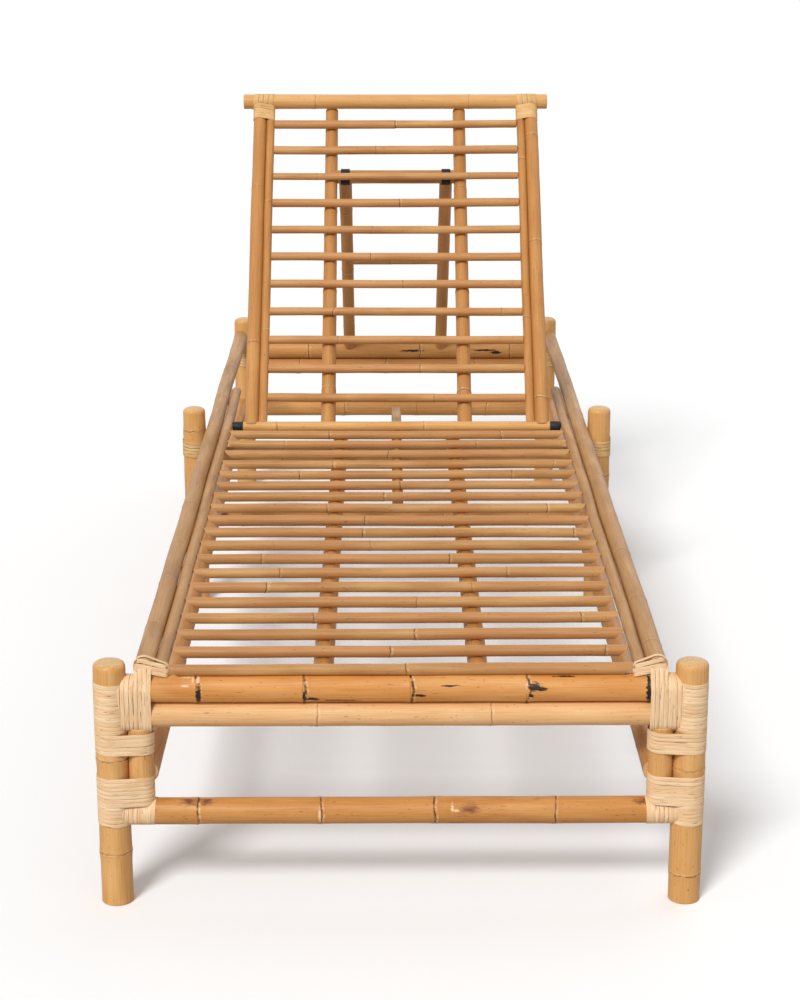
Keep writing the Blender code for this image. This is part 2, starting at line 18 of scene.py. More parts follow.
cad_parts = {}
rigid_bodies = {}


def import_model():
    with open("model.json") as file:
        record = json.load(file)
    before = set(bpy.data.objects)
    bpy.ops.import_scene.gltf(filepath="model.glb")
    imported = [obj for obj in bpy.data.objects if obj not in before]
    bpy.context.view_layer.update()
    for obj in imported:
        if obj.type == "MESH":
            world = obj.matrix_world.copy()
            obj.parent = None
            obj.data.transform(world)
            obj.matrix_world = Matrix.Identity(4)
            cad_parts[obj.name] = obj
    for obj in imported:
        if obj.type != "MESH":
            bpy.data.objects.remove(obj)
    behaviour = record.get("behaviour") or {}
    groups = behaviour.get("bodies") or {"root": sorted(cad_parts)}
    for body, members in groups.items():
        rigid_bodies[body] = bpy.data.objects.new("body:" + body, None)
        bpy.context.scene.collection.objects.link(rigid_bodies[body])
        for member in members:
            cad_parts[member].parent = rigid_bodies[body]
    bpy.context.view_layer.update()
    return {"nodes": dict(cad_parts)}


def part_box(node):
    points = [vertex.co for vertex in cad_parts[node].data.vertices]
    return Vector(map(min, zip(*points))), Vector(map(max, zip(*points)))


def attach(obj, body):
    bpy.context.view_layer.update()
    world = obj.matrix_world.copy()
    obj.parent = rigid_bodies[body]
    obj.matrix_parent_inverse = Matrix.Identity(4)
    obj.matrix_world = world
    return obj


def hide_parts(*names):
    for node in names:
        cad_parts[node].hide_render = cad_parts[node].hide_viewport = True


for leftover in list(bpy.data.objects):
    bpy.data.objects.remove(leftover, do_unlink=True)
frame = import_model()
chance = random.Random(11)

# %% [markdown]
# ## Where the poles lie
#
# Most poles run along X, Y or Z, so a box round their corners gives both ends and the thickness. The back
# and the prop lean. Their poles are straight in a frame that leans with them, so each gets such a frame: it
# starts at the bar that the piece turns on, and its Y axis points at the bar at its far end.

# %% Measure a pole
LEVEL = Matrix.Identity(4)
SIDES = (("left", -1), ("right", 1))


def middle_of(node):
    low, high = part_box(node)
    return (low + high) / 2


def leaning_frame(origin, target):
    way = target - origin
    return Matrix.Translation(origin) @ Matrix.Rotation(math.atan2(way.z, way.y), 4, "X")


BACK = leaning_frame(middle_of("pivot_bar"), middle_of("back_top_rail"))
PROP = leaning_frame(middle_of("prop_hinge_bar"), middle_of("prop_cross_bar"))


def measure(node, lean=LEVEL):
    """Start, end and radius of a pole, in a frame that may lean."""
    corners = [lean.inverted() @ corner.co for corner in frame["nodes"][node].data.vertices]
    low = Vector([min(corner[k] for corner in corners) for k in range(3)])
    high = Vector([max(corner[k] for corner in corners) for k in range(3)])
    size = high - low
    long_way = max(range(3), key=lambda k: size[k])
    start, end = (low + high) / 2, (low + high) / 2
    start[long_way], end[long_way] = low[long_way], high[long_way]
    radius = max(size[k] for k in range(3) if k != long_way) / 2
    return start, end, radius


print(f"the back leans {math.degrees(BACK.to_euler().x):.1f} degrees")

# %% [markdown]
# ## Nodes for the finishes
#
# Every finish here is a small web of shader nodes. One helper adds a node and takes its inputs by name or
# number: an input that is given another node's socket is linked, and any other value is set on the node
# itself.

# %% Helpers for shader nodes
def add(tree, kind, inputs, **settings):
    made = tree.nodes.new(kind)
    for key, value in settings.items():
        setattr(made, key, value)
    for key, value in inputs.items():
        if isinstance(value, bpy.types.NodeSocket):
            tree.links.new(value, made.inputs[key])
        else:
            made.inputs[key].default_value = value
    return made


def math_node(tree, operation, first, second):
    return add(tree, "ShaderNodeMath", {0: first, 1: second}, operation=operation).outputs[0]


def times(tree, first, second):
    return math_node(tree, "MULTIPLY", first, second)


def vector_math(tree, operation, first, second, output="Vector"):
    return add(tree, "ShaderNodeVectorMath", {0: first, 1: second}, operation=operation).outputs[output]


def stretched_noise(tree, vector, scale, detail=3.0):
    """Noise on a vector that is first multiplied, so that it stretches along one way."""
    wide = vector_math(tree, "MULTIPLY", vector, scale)
    return add(tree, "ShaderNodeTexNoise", {"Vector": wide, "Scale": 1.0, "Detail": detail}).outputs["Fac"]


def remap(tree, value, low, high, to_low=0.0, to_high=1.0):
    inputs = {"Value": value, "From Min": low, "From Max": high, "To Min": to_low, "To Max": to_high}
    return add(tree, "ShaderNodeMapRange", inputs).outputs["Result"]


def blend(tree, factor, under, over, way="MIX"):
    inputs = {0: factor, 6: under, 7: over}
    return add(tree, "ShaderNodeMix", inputs, data_type="RGBA", blend_type=way).outputs[2]


def attribute(tree, name, output="Fac"):
    return add(tree, "ShaderNodeAttribute", {}, attribute_name=name).outputs[output]


def object_place(tree):
    return add(tree, "ShaderNodeTexCoord", {}).outputs["Object"]


def new_finish(name, specular=0.3):
    finish = bpy.data.materials.new(name)
    finish.use_nodes = True
    shader = finish.node_tree.nodes["Principled BSDF"]
    shader.inputs["Specular IOR Level"].default_value = specular
    return finish, finish.node_tree, shader


def link_finish(tree, shader, colour, roughness, relief, strength, depth):
    """Gives the shader its colour, its roughness and a bump of some depth in metres."""
    bump = add(tree, "ShaderNodeBump", {"Strength": strength, "Distance": depth, "Height": relief})
    tree.links.new(colour, shader.inputs["Base Color"])
    tree.links.new(roughness, shader.inputs["Roughness"])
    tree.links.new(bump.outputs["Normal"], shader.inputs["Normal"])


# %% [markdown]
# ## Cane
#
# Cane has long straight fibres, a colour that drifts from one joint to the next, and a dark scar round each
# knuckle. A picture can't follow so many poles in as many directions, so each pole carries its own measures
# as attributes: fibre is a place along and across it, knuckle is the signed distance to the nearest
# knuckle, near is how strongly that knuckle shows, joint is a random tint, and cut is 1 on sawn ends.

# %% The grain and the knuckles of cane
SCAR = (0.10, 0.045, 0.02)
CHAR = (0.028, 0.014, 0.010)
STREAK_SHADE = (0.62, 0.50, 0.42, 1)
SCUFFED_SKIN = (0.88, 0.64, 0.37, 1)


def cane_grain(tree, fibre, blotch, streak, pale, deep, blush, scar):
    """The colour of the skin between two knuckles."""
    drift = stretched_noise(tree, fibre, (3.5, 14.0, 14.0), 2.0)
    fleck = stretched_noise(tree, fibre, (120.0, 520.0, 520.0), 1.0)
    colour = blend(tree, remap(tree, blotch, 0.35, 0.65), (*pale, 1), (*deep, 1))
    colour = blend(tree, remap(tree, drift, 0.40, 0.62, 0.0, 0.45), colour, (*deep, 1))
    colour = blend(tree, times(tree, attribute(tree, "joint"), 0.75), colour, (*blush, 1))
    colour = blend(tree, remap(tree, streak, 0.42, 0.66, 0.0, 0.32), colour, STREAK_SHADE, "MULTIPLY")
    return blend(tree, remap(tree, fleck, 0.70, 0.76, 0.0, 0.55), colour, (*scar, 1))


def cane_knuckles(tree, fibre, blotch, colour, deep, scar, scar_width, bulge):
    """Adds a halo, a scuffed lip and a dark ring at each knuckle; gives the colour and the ring."""
    sway = stretched_noise(tree, fibre, (10.0, 55.0, 55.0), 2.0)
    bend = remap(tree, sway, 0.3, 0.7, -0.0018, 0.0018)
    distance = math_node(tree, "ADD", attribute(tree, "knuckle"), bend)
    if bulge:
        distance = math_node(tree, "SUBTRACT", distance, bulging_ring(tree, *bulge))
    near = attribute(tree, "near")
    away = math_node(tree, "ABSOLUTE", distance, 0.0)
    halo = times(tree, remap(tree, away, 0.0, 0.012, 0.55, 0.0), near)
    colour = blend(tree, times(tree, halo, blotch), colour, (*deep, 1))
    lip = times(tree, remap(tree, distance, 0.0008, 0.0022), remap(tree, distance, 0.0048, 0.003))
    scuff = stretched_noise(tree, fibre, (60.0, 260.0, 260.0), 2.0)
    scuff = times(tree, near, remap(tree, scuff, 0.42, 0.60, 0.0, 0.55))
    colour = blend(tree, times(tree, lip, scuff), colour, SCUFFED_SKIN)
    worn = stretched_noise(tree, fibre, (30.0, 150.0, 150.0), 2.0)
    line = times(tree, remap(tree, away, 0.4 * scar_width, scar_width, 1.0, 0.0), near)
    ring = times(tree, line, remap(tree, worn, 0.36, 0.56, 0.2, 1.0))
    return blend(tree, ring, colour, (*scar, 1)), ring


# %% A finish for cane
PEELED_SKIN = (0.88, 0.55, 0.31, 1)
SAWN_PALE = (0.76, 0.56, 0.32, 1)
SAWN_DARK = (0.42, 0.26, 0.12, 1)


def cane_finish(name, pale, deep, blush, scar=SCAR, scar_width=0.0011, marks=(), char=CHAR, peels=(),
                soft=0.3, bulge=None):
    finish, tree, shader = new_finish(name)
    fibre = attribute(tree, "fibre", "Vector")
    blotch = stretched_noise(tree, fibre, (9.0, 48.0, 48.0))
    streak = stretched_noise(tree, fibre, (16.0, 620.0, 620.0))
    colour = cane_grain(tree, fibre, blotch, streak, pale, deep, blush, scar)
    colour, ring = cane_knuckles(tree, fibre, blotch, colour, deep, scar, scar_width, bulge)
    if peels:
        colour = blend(tree, ragged_ovals(tree, peels, 0.55), colour, PEELED_SKIN)
    if marks:
        colour = blend(tree, ragged_ovals(tree, marks, soft), colour, (*char, 1))
    pores = stretched_noise(tree, fibre, (300.0, 900.0, 900.0), 1.0)
    sawn = blend(tree, remap(tree, pores, 0.45, 0.62), SAWN_PALE, SAWN_DARK)
    colour = blend(tree, times(tree, attribute(tree, "cut"), 0.6), colour, sawn)
    relief = math_node(tree, "SUBTRACT", times(tree, streak, 0.5), ring)
    link_finish(tree, shader, colour, remap(tree, streak, 0.3, 0.7, 0.36, 0.52), relief, 0.35, 0.0006)
    return finish


# %% [markdown]
# Cane is straightened over a flame, which can leave black dashes and smears, and here and there the skin
# has peeled. Each mark is an oval on the rail's front side, with its edge broken by noise. They are few, so
# they are listed one by one: an X, a height above the rail's axis, half a length and half a thickness, in
# metres.

# %% Burn marks and peeled spots
MARK_EDGE = 1.05
FRONT_FADE = 0.003


def bulging_ring(tree, axis_height, radius, amount):
    """How far a ring bows along the rail, most at the rail's middle height."""
    height = add(tree, "ShaderNodeSeparateXYZ", {0: object_place(tree)}).outputs["Z"]
    share = math_node(tree, "DIVIDE", math_node(tree, "SUBTRACT", height, axis_height), radius)
    fall = math_node(tree, "POWER", share, 2.0)
    return times(tree, math_node(tree, "SUBTRACT", 1.0, fall), amount)


def ragged_ovals(tree, ovals, softness):
    place = object_place(tree)
    ragged = remap(tree, stretched_noise(tree, place, (140.0, 60.0, 520.0)), 0.3, 0.7, -0.4, 0.4)
    total = None
    for centre, half_length, half_height in ovals:
        away = vector_math(tree, "SUBTRACT", place, centre)
        away = vector_math(tree, "MULTIPLY", away, (1 / half_length, 0.0, 1 / half_height))
        span = math_node(tree, "ADD", vector_math(tree, "LENGTH", away, (0, 0, 0), "Value"), ragged)
        oval = remap(tree, span, MARK_EDGE - softness, MARK_EDGE, 1.0, 0.0)
        total = oval if total is None else math_node(tree, "MAXIMUM", total, oval)
    axis_y = ovals[0][0][1]
    across = add(tree, "ShaderNodeSeparateXYZ", {0: place}).outputs["Y"]
    return times(tree, total, remap(tree, across, axis_y, axis_y - FRONT_FADE))


def ovals_on(node, *ovals):
    middle = middle_of(node)
    return [((x, middle.y, middle.z + rise), length, height) for x, rise, length, height in ovals]


FRONT_MARKS = ovals_on(
    "front_top_rail",
    (-0.2598, -0.0045, 0.0036, 0.0130),
    (-0.1245, -0.0060, 0.0016, 0.0080),
    (-0.1135, -0.0092, 0.0130, 0.0028),
    (-0.0780, -0.0121, 0.0280, 0.0012),
    (0.0240, -0.0042, 0.0105, 0.0022),
    (0.0645, 0.0085, 0.0110, 0.0013),
    (0.1720, 0.0066, 0.0085, 0.0058),
    (0.1790, 0.0046, 0.0120, 0.0028),
    (0.1670, -0.0050, 0.0036, 0.0026),
    (0.2107, 0.0171, 0.0150, 0.0005),
    (0.3185, 0.0000, 0.0036, 0.0190),
)
FRONT_PEELS = ovals_on(
    "front_top_rail",
    (-0.2765, 0.0170, 0.0075, 0.0008),
    (-0.2760, 0.0088, 0.0065, 0.0014),
    (-0.2672, 0.0148, 0.0022, 0.0030),
    (-0.2610, 0.0148, 0.0030, 0.0034),
    (0.1612, 0.0080, 0.0014, 0.0075),
)
STRETCHER_MARKS = ovals_on(
    "front_stretcher",
    (-0.2770, 0.0158, 0.0155, 0.0050),
    (-0.2550, 0.0160, 0.0115, 0.0042),
    (0.0905, 0.0078, 0.0165, 0.0068),
    (0.0740, -0.0140, 0.0190, 0.0022),
    (0.3150, 0.0152, 0.0130, 0.0038),
)
STRETCHER_PEELS = ovals_on(
    "front_stretcher",
    (0.0670, 0.0092, 0.0022, 0.0056),
    (0.0730, 0.0062, 0.0050, 0.0020),
    (-0.1060, 0.0020, 0.0022, 0.0110),
)
REAR_MARKS = ovals_on(
    "rear_top_rail",
    (0.0330, 0.0010, 0.0230, 0.0026),
    (0.1900, 0.0020, 0.0300, 0.0022),
    (0.2150, -0.0030, 0.0140, 0.0036),
)

# %% The cane finishes
BLACK_SCAR = (0.035, 0.018, 0.012)
RING_BULGE = (middle_of("front_top_rail").z, 0.018, 0.0042)
BURNT = cane_finish("flame_marked_cane", (0.83, 0.445, 0.160), (0.60, 0.240, 0.050), (0.70, 0.30, 0.075),
                    BLACK_SCAR, 0.0023, FRONT_MARKS, CHAR, FRONT_PEELS, bulge=RING_BULGE)
SCORCHED = cane_finish("scorched_cane", (0.73, 0.375, 0.125), (0.50, 0.200, 0.043), (0.60, 0.26, 0.065),
                       BLACK_SCAR, 0.0015, STRETCHER_MARKS, (0.20, 0.06, 0.025), STRETCHER_PEELS, 0.95)
REAR_BURNT = cane_finish("rear_flame_marked_cane", (0.70, 0.36, 0.12), (0.55, 0.25, 0.065),
                         (0.62, 0.29, 0.085), BLACK_SCAR, 0.0013, REAR_MARKS)
HONEY = cane_finish("honey_cane", (0.65, 0.33, 0.11), (0.47, 0.205, 0.052), (0.55, 0.245, 0.07))
STRAW = cane_finish("straw_cane", (0.82, 0.475, 0.185), (0.66, 0.335, 0.10), (0.72, 0.375, 0.125))
PALE = cane_finish("pale_cane", (0.86, 0.53, 0.255), (0.76, 0.425, 0.175), (0.80, 0.455, 0.195))
BACK_SLAT = cane_finish("back_slat_cane", (0.72, 0.415, 0.156), (0.485, 0.224, 0.066),
                        (0.58, 0.267, 0.097))
SEAT_SLAT = cane_finish("seat_slat_cane", (0.645, 0.37, 0.136), (0.43, 0.197, 0.057),
                        (0.515, 0.236, 0.084))
FAINT_SCAR = (0.26, 0.14, 0.06)
DULL = cane_finish("dull_cane", (0.60, 0.345, 0.138), (0.37, 0.185, 0.062), (0.49, 0.255, 0.093),
                   FAINT_SCAR, 0.0009)
print(f"{len(bpy.data.materials)} materials so far")

# %% [markdown]
# ## Turning a pole
#
# A cane pole is round, so it is drawn once as a line from its axis out, along its side and back to its
# axis, and then spun. The line is a single point that is extruded from station to station, as one would by
# hand. A sawn end has a small chamfer, a knuckle is a low lip with a groove behind it, and each joint is a
# little thicker or thinner than the next.

# %% Draw and spin the side of a pole
STATION_STEP = 0.045
WELD_DISTANCE = 0.000005
GIRTH_CHANGE = 0.012
FULL_SIZE = 0.018
SWELL_START = 0.014
BEFORE_KNUCKLE = ((-0.006, 1.010), (-0.0018, 1.035), (-0.0008, 1.035))
GROOVE = 0.99
AFTER_KNUCKLE = ((0.0011, 1.022), (0.004, 1.010), (0.012, 1.0))
DOME_STEPS = (0.3, 0.55, 0.75, 0.9, 0.98)
DOME_POWER = 3.2


def deselect():
    bpy.ops.object.select_all(action="DESELECT")


def choose(made):
    deselect()
    made.select_set(True)
    bpy.context.view_layer.objects.active = made


def spun(name, profile, sides):
    """A closed solid round Z from a line of (radius, height) points that starts and ends on the axis."""
    deselect()
    bpy.ops.mesh.primitive_plane_add(size=0.01, location=(0, 0, 0))
    made = bpy.context.object
    made.name = name
    made.data.name = name
    bpy.ops.object.mode_set(mode="EDIT")
    bpy.ops.mesh.merge(type="CENTER")
    radius, height = 0.0, 0.0
    for next_radius, next_height in profile:
        step = (next_radius - radius, 0.0, next_height - height)
        bpy.ops.mesh.extrude_vertices_move(TRANSFORM_OT_translate={"value": step})
        radius, height = next_radius, next_height
    bpy.ops.mesh.select_all(action="SELECT")
    bpy.ops.mesh.spin(steps=sides, angle=2 * math.pi, center=(0, 0, 0), axis=(0, 0, 1))
    bpy.ops.mesh.select_all(action="SELECT")
    bpy.ops.mesh.remove_doubles(threshold=WELD_DISTANCE)
    bpy.ops.mesh.normals_make_consistent(inside=False)
    bpy.ops.object.mode_set(mode="OBJECT")
    return made


def run_to(profile, radius, height):
    """Adds stations at an even step up to a height."""
    start = profile[-1][1]
    count = max(1, math.ceil((height - start) / STATION_STEP))
    first = profile[-1][0]
    for k in range(1, count + 1):
        share = k / count
        profile.append((first + (radius - first) * share, start + (height - start) * share))


def cane_profile(length, radius, knuckles, chamfer, dome, girth):
    girths = []
    for k in range(len(knuckles) + 1):
        share = k / max(1, len(knuckles))
        change = chance.uniform(-GIRTH_CHANGE, GIRTH_CHANGE)
        girths.append(radius * (girth[0] + (girth[1] - girth[0]) * share + change))
    reach = radius / FULL_SIZE
    profile = [(girths[0] - chamfer, 0.0), (girths[0], chamfer)]
    for before, after, knuckle in zip(girths, girths[1:], knuckles):
        run_to(profile, before, knuckle - SWELL_START * reach)
        for offset, swell in BEFORE_KNUCKLE:
            profile.append((before * swell, knuckle + offset * reach))
        profile.append((min(before, after) * GROOVE, knuckle))
        for offset, swell in AFTER_KNUCKLE:
            profile.append((after * swell, knuckle + offset * reach))
    last = girths[-1]
    if dome:
        run_to(profile, last, length - dome)
        for share in DOME_STEPS:
            profile.append((last * (1 - share ** DOME_POWER) ** 0.5, length - dome + dome * share))
    else:
        run_to(profile, last, length - chamfer)
        profile.append((last - chamfer, length))
    profile.append((0.0, length))
    return profile


# %% [markdown]
# ## Making it grow unevenly
#
# Real cane is never quite round or straight. A Displace modifier with soft noise pushes the skin in and
# out, and others with very wide noise bow most poles sideways. All are applied, so the result is plain
# mesh.

# %% Uneven skin and a slight bow
def soft_noise(name, size):
    made = bpy.data.textures.new(name, "CLOUDS")
    made.noise_scale = size
    made.noise_depth = 1
    return made


SKIN_NOISE = soft_noise("skin_noise", 0.028)
BOW_NOISE = soft_noise("bow_noise", 0.30)
SKIN_SHARE = 0.055


def push(made, noise, direction, strength):
    choose(made)
    modifier = made.modifiers.new("push", "DISPLACE")
    modifier.texture = noise
    modifier.texture_coords = "LOCAL"
    modifier.direction = direction
    modifier.strength = strength
    modifier.mid_level = 0.5
    bpy.ops.object.modifier_apply(modifier="push")


def grow_unevenly(made, radius, bow):
    push(made, SKIN_NOISE, "NORMAL", SKIN_SHARE * radius)
    for direction, strength in zip("XYZ", bow):
        if strength:
            push(made, BOW_NOISE, direction, strength)


# %% [markdown]
# ## What the finish needs to know
#
# The attributes come last, from the finished mesh: each point is taken back to the pole's own upright
# frame, where its height is its place along the pole. A random start keeps two poles from having the same
# grain.

# %% Note the fibre on a pole
NEAR = 0.02
GRAIN_SHIFT = 40
SAWN_FROM = 0.65
SAWN_BLEND = 0.25


def note(mesh, name, kind, values):
    store = mesh.attributes.new(name, kind, "POINT")
    key = "vector" if kind == "FLOAT_VECTOR" else "value"
    store.data.foreach_set(key, np.asarray(values, np.float32).ravel())


def note_fibre(made, upright, knuckles, faintest):
    """Measures along and across a pole; each knuckle shows more or less strongly."""
    mesh = made.data
    count = len(mesh.vertices)
    places = np.zeros(count * 3, np.float32)
    normals = np.zeros(count * 3, np.float32)
    mesh.vertices.foreach_get("co", places)
    mesh.vertices.foreach_get("normal", normals)
    back = np.array(upright.inverted())
    local = places.reshape(-1, 3) @ back[:3, :3].T + back[:3, 3]
    along = local[:, 2]
    facing = np.abs(normals.reshape(-1, 3) @ np.array(upright)[:3, 2])
    tints = np.array([chance.random() for _ in range(len(knuckles) + 1)])
    joint = tints[np.searchsorted(np.array(knuckles), along)] if knuckles else np.full(count, tints[0])
    signed = np.full(count, 1.0)
    strength = np.zeros(count)
    for knuckle in knuckles:
        offset = along - knuckle
        closer = np.abs(offset) < np.abs(signed)
        signed = np.where(closer, offset, signed)
        strength = np.where(closer, chance.uniform(faintest, 1.0), strength)
    start = np.array([chance.uniform(0, GRAIN_SHIFT) for _ in range(3)])
    note(mesh, "fibre", "FLOAT_VECTOR", np.stack([along, local[:, 0], local[:, 1]], 1) + start)
    note(mesh, "knuckle", "FLOAT", np.clip(signed, -NEAR, NEAR))
    note(mesh, "near", "FLOAT", np.where(np.abs(signed) < NEAR, strength, 0.0))
    note(mesh, "joint", "FLOAT", joint)
    note(mesh, "cut", "FLOAT", np.clip((facing - SAWN_FROM) / SAWN_BLEND, 0, 1))


# %% [markdown]
# ## Fitting a pole to its neighbour
#
# Where a rail meets a post, its end is scooped out to the post's curve, which carpenters call a cope. A
# cylinder of the neighbour's thickness is subtracted, and then deleted. A flat cut is a bisecting plane
# that keeps one side.

# %% Cope or saw an end
COPE_ROOM = 0.0002
CUTTER_SIDES = 48
CUTTER_STRETCH = 1.02


def upright_at(start, end):
    way = end - start
    return Matrix.Translation(start) @ way.to_track_quat("Z", "Y").to_matrix().to_4x4()


def subtract(made, cutter):
    choose(made)
    modifier = made.modifiers.new("cut", "BOOLEAN")
    modifier.object = cutter
    modifier.solver = "EXACT"
    bpy.ops.object.modifier_apply(modifier="cut")
    bpy.data.objects.remove(cutter, do_unlink=True)


def cope(made, start, end, radius):
    deselect()
    bpy.ops.mesh.primitive_cylinder_add(vertices=CUTTER_SIDES, radius=radius + COPE_ROOM, depth=1.0)
    cutter = bpy.context.object
    turned = upright_at(start, end).to_quaternion().to_matrix().to_4x4()
    stretch = Matrix.Diagonal((1, 1, CUTTER_STRETCH * (end - start).length, 1))
    cutter.matrix_world = Matrix.Translation((start + end) / 2) @ turned @ stretch
    subtract(made, cutter)


def saw(made, place, facing):
    """Takes off what lies beyond a plane and closes the cut."""
    choose(made)
    bpy.ops.object.mode_set(mode="EDIT")
    bpy.ops.mesh.select_all(action="SELECT")
    bpy.ops.mesh.bisect(plane_co=place, plane_no=facing, use_fill=True, clear_outer=True)
    bpy.ops.object.mode_set(mode="OBJECT")


# %% [markdown]
# ## One pole from start to finish
#
# On the posts, the rails at both ends and the outer stiles, knuckles are listed one by one. On other poles
# they are spread at a spacing, each a little early or late.

# %% A whole cane pole
RAIL_SIDES = 40
SLAT_SIDES = 24
SAWN_CHAMFER = 0.0012
END_ROOM = 0.03
FIRST_KNUCKLE = (0.25, 0.95)
NEXT_KNUCKLE = (0.75, 1.2)
SMOOTH_ANGLE = math.radians(38)


def settle(made):
    """Applies a piece's place and turn, so that it sits at the origin."""
    choose(made)
    bpy.ops.object.transform_apply(location=True, rotation=True, scale=True)


def cover(made, finish):
    choose(made)
    bpy.ops.object.shade_smooth_by_angle(angle=SMOOTH_ANGLE)
    made.data.materials.clear()
    made.data.materials.append(finish)


def spread_knuckles(length, spacing):
    places = []
    place = spacing * chance.uniform(*FIRST_KNUCKLE)
    while place < length - END_ROOM:
        places.append(place)
        place += spacing * chance.uniform(*NEXT_KNUCKLE)
    return places


def cane_pole(name, start, end, radius, finish, knuckles, sides=RAIL_SIDES, bow=(0, 0, 0), dome=0.0, meets=(),
              girth=(0.98, 0.97), shape=None, faintest=0.3):
    upright = upright_at(start, end)
    length = (end - start).length
    made = spun(name, cane_profile(length, radius, knuckles, SAWN_CHAMFER, dome, girth), sides)
    made.matrix_world = upright @ Matrix.Rotation(chance.uniform(0, 2 * math.pi), 4, "Z")
    settle(made)
    grow_unevenly(made, radius, bow)
    for other_start, other_end, other_radius in meets:
        cope(made, other_start, other_end, other_radius)
    if shape:
        shape(made)
    note_fibre(made, upright, knuckles, faintest)
    cover(made, finish)
    return made


def in_world(pole, lean):
    start, end, radius = pole
    return lean @ start, lean @ end, radius


def keep_cane(made, body):
    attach(made, body)


def dress(node, body, finish, spacing=0.2, knuckles=None, across=(), lean=LEVEL, meets=(), sag=(0, 0, 0),
          **more):
    """Models one construction pole again as cane, in its own place.

    Knuckles are distances from its first end, or across gives them as X. Sag moves that end.
    """
    start, end, radius = in_world(measure(node, lean), lean)
    start = start + Vector(sag)
    length = (end - start).length
    if across:
        knuckles = [x - start.x for x in across]
    if knuckles is None:
        knuckles = spread_knuckles(length, spacing)
    else:
        knuckles = [place for place in knuckles if NEAR < place < length - NEAR]
    others = [in_world(measure(other, lean), lean) for other in meets]
    made = cane_pole(f"cane_{node}", start, end, radius, finish, knuckles, meets=others, **more)
    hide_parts(node)
    keep_cane(made, body)


# %% [markdown]
# ## The end frames
#
# Six posts carry everything. Their tops are rounded over, and the rails between them are coped. The thick
# rail at the foot end is the showpiece, with burn marks and peeled spots on its front.

# %% Posts
POST_DOME = 0.011
POST_BOW = (0.0012, 0.0012, 0)
POST_KNUCKLES = {
    "front_post_left": (0.073, 0.205),
    "front_post_right": (0.040, 0.190),
    "middle_post_left": (0.110, 0.325),
    "middle_post_right": (0.090, 0.240),
    "rear_post_left": (0.145, 0.330),
    "rear_post_right": (0.150, 0.320),
}
for node, places in POST_KNUCKLES.items():
    girth = 1.0 if node.startswith("front") else 0.97
    dress(node, "frame", STRAW, knuckles=places, bow=POST_BOW, dome=POST_DOME, girth=(girth, girth))
print(f"{len(POST_KNUCKLES)} posts")

# %% Rails between the posts
CROSS_BOW = (0, 0.0018, 0.0012)
FRONT_RAIL_SIDES = 56
FULL = (1.005, 1.005)


def cross_rail(node, finish, **more):
    """A rail between the two posts of its end, or of the middle."""
    place = node.split("_")[0]
    dress(node, "frame", finish, meets=(f"{place}_post_left", f"{place}_post_right"), **more)


cross_rail("front_top_rail", BURNT, across=(-0.2625, -0.1255, 0.0120, 0.1615, 0.3185), bow=CROSS_BOW,
           sides=FRONT_RAIL_SIDES, faintest=0.95, girth=FULL)
cross_rail("front_second_rail", PALE, across=(-0.1071, 0.1174), bow=CROSS_BOW, girth=FULL)
cross_rail("front_stretcher", SCORCHED, across=(-0.2647, -0.1039, 0.0443, 0.2022), bow=CROSS_BOW,
           faintest=0.8, girth=FULL)
cross_rail("middle_cross_rail", HONEY, spacing=0.19, bow=CROSS_BOW)
cross_rail("middle_stretcher", HONEY, spacing=0.19, bow=CROSS_BOW)
cross_rail("rear_top_rail", REAR_BURNT, across=(-0.185, 0.0536, 0.245), girth=FULL)
cross_rail("rear_second_rail", HONEY, across=(-0.205, -0.019, 0.17), girth=FULL)
cross_rail("rear_stretcher", REAR_BURNT, across=(-0.1085, 0.0468, 0.197), bow=CROSS_BOW, girth=FULL)
for side, _ in SIDES:
    dress(f"front_strut_{side}", "frame", STRAW, knuckles=(), girth=(1.02, 1.02))
print("the foot end, the middle and the head end have their rails")

# %% [markdown]
# ## The long sides
#
# The side rails are duller than most poles, with faint knuckles. A thin inner rail runs beside each, and a
# stretcher runs low along each side.

# %% Side rails and stretchers
SIDE_BOW = (0.003, 0, 0.0012)
for side, sign in SIDES:
    rear_post = (f"rear_post_{side}",)
    dress(f"side_rail_{side}", "frame", DULL, spacing=0.21, meets=rear_post, bow=SIDE_BOW, girth=(0.96, 1.0),
          sag=(0, 0, -0.0006))
    dress(f"inner_rail_{side}", "frame", DULL, spacing=0.30, bow=SIDE_BOW, sides=SLAT_SIDES,
          girth=(0.97, 1.03), sag=(sign * 0.0014, 0.0020, -0.0003))
    # The low stretchers take the darker honey finish, partly for a deeper tone of their own and partly as
    # painted shade from the rails and the seat above them.
    dress(f"side_stretcher_{side}", "frame", HONEY, spacing=0.22, meets=rear_post, bow=SIDE_BOW,
          girth=(1.07, 1.0))
print("two side rails, two inner rails and two low stretchers")

# %% [markdown]
# ## The seat
#
# In the construction the seat is one piece, with its slats let into three bearers. Here every slat and
# bearer is a pole of its own. The slats reach further out than anything else on the deck, so its outermost
# corners, sorted into groups by their place along the lounger, give the slats. The lowest corners give two
# of the bearers, and the rearmost ones the end of the short one between them. Each slat is sawn at a slant
# at both ends, so that it is shorter underneath.

# %% Find the slats and the bearers in the deck
TIP_ROOM = 0.0005
SLAT_GAP = 0.02
deck_corners = [corner.co for corner in frame["nodes"]["seat_deck"].data.vertices]
reach = max(corner.x for corner in deck_corners)
tips = [corner for corner in deck_corners if corner.x > reach - TIP_ROOM]
slat_groups = []
for corner in sorted(tips, key=lambda tip: tip.y):
    if slat_groups and corner.y - slat_groups[-1][-1].y < SLAT_GAP:
        slat_groups[-1].append(corner)
    else:
        slat_groups.append([corner])


def slat_line(group):
    ys = [corner.y for corner in group]
    zs = [corner.z for corner in group]
    y, z = (min(ys) + max(ys)) / 2, (min(zs) + max(zs)) / 2
    return Vector((-reach, y, z)), Vector((reach, y, z)), (max(ys) - min(ys)) / 2


print(f"{len(slat_groups)} seat slats")

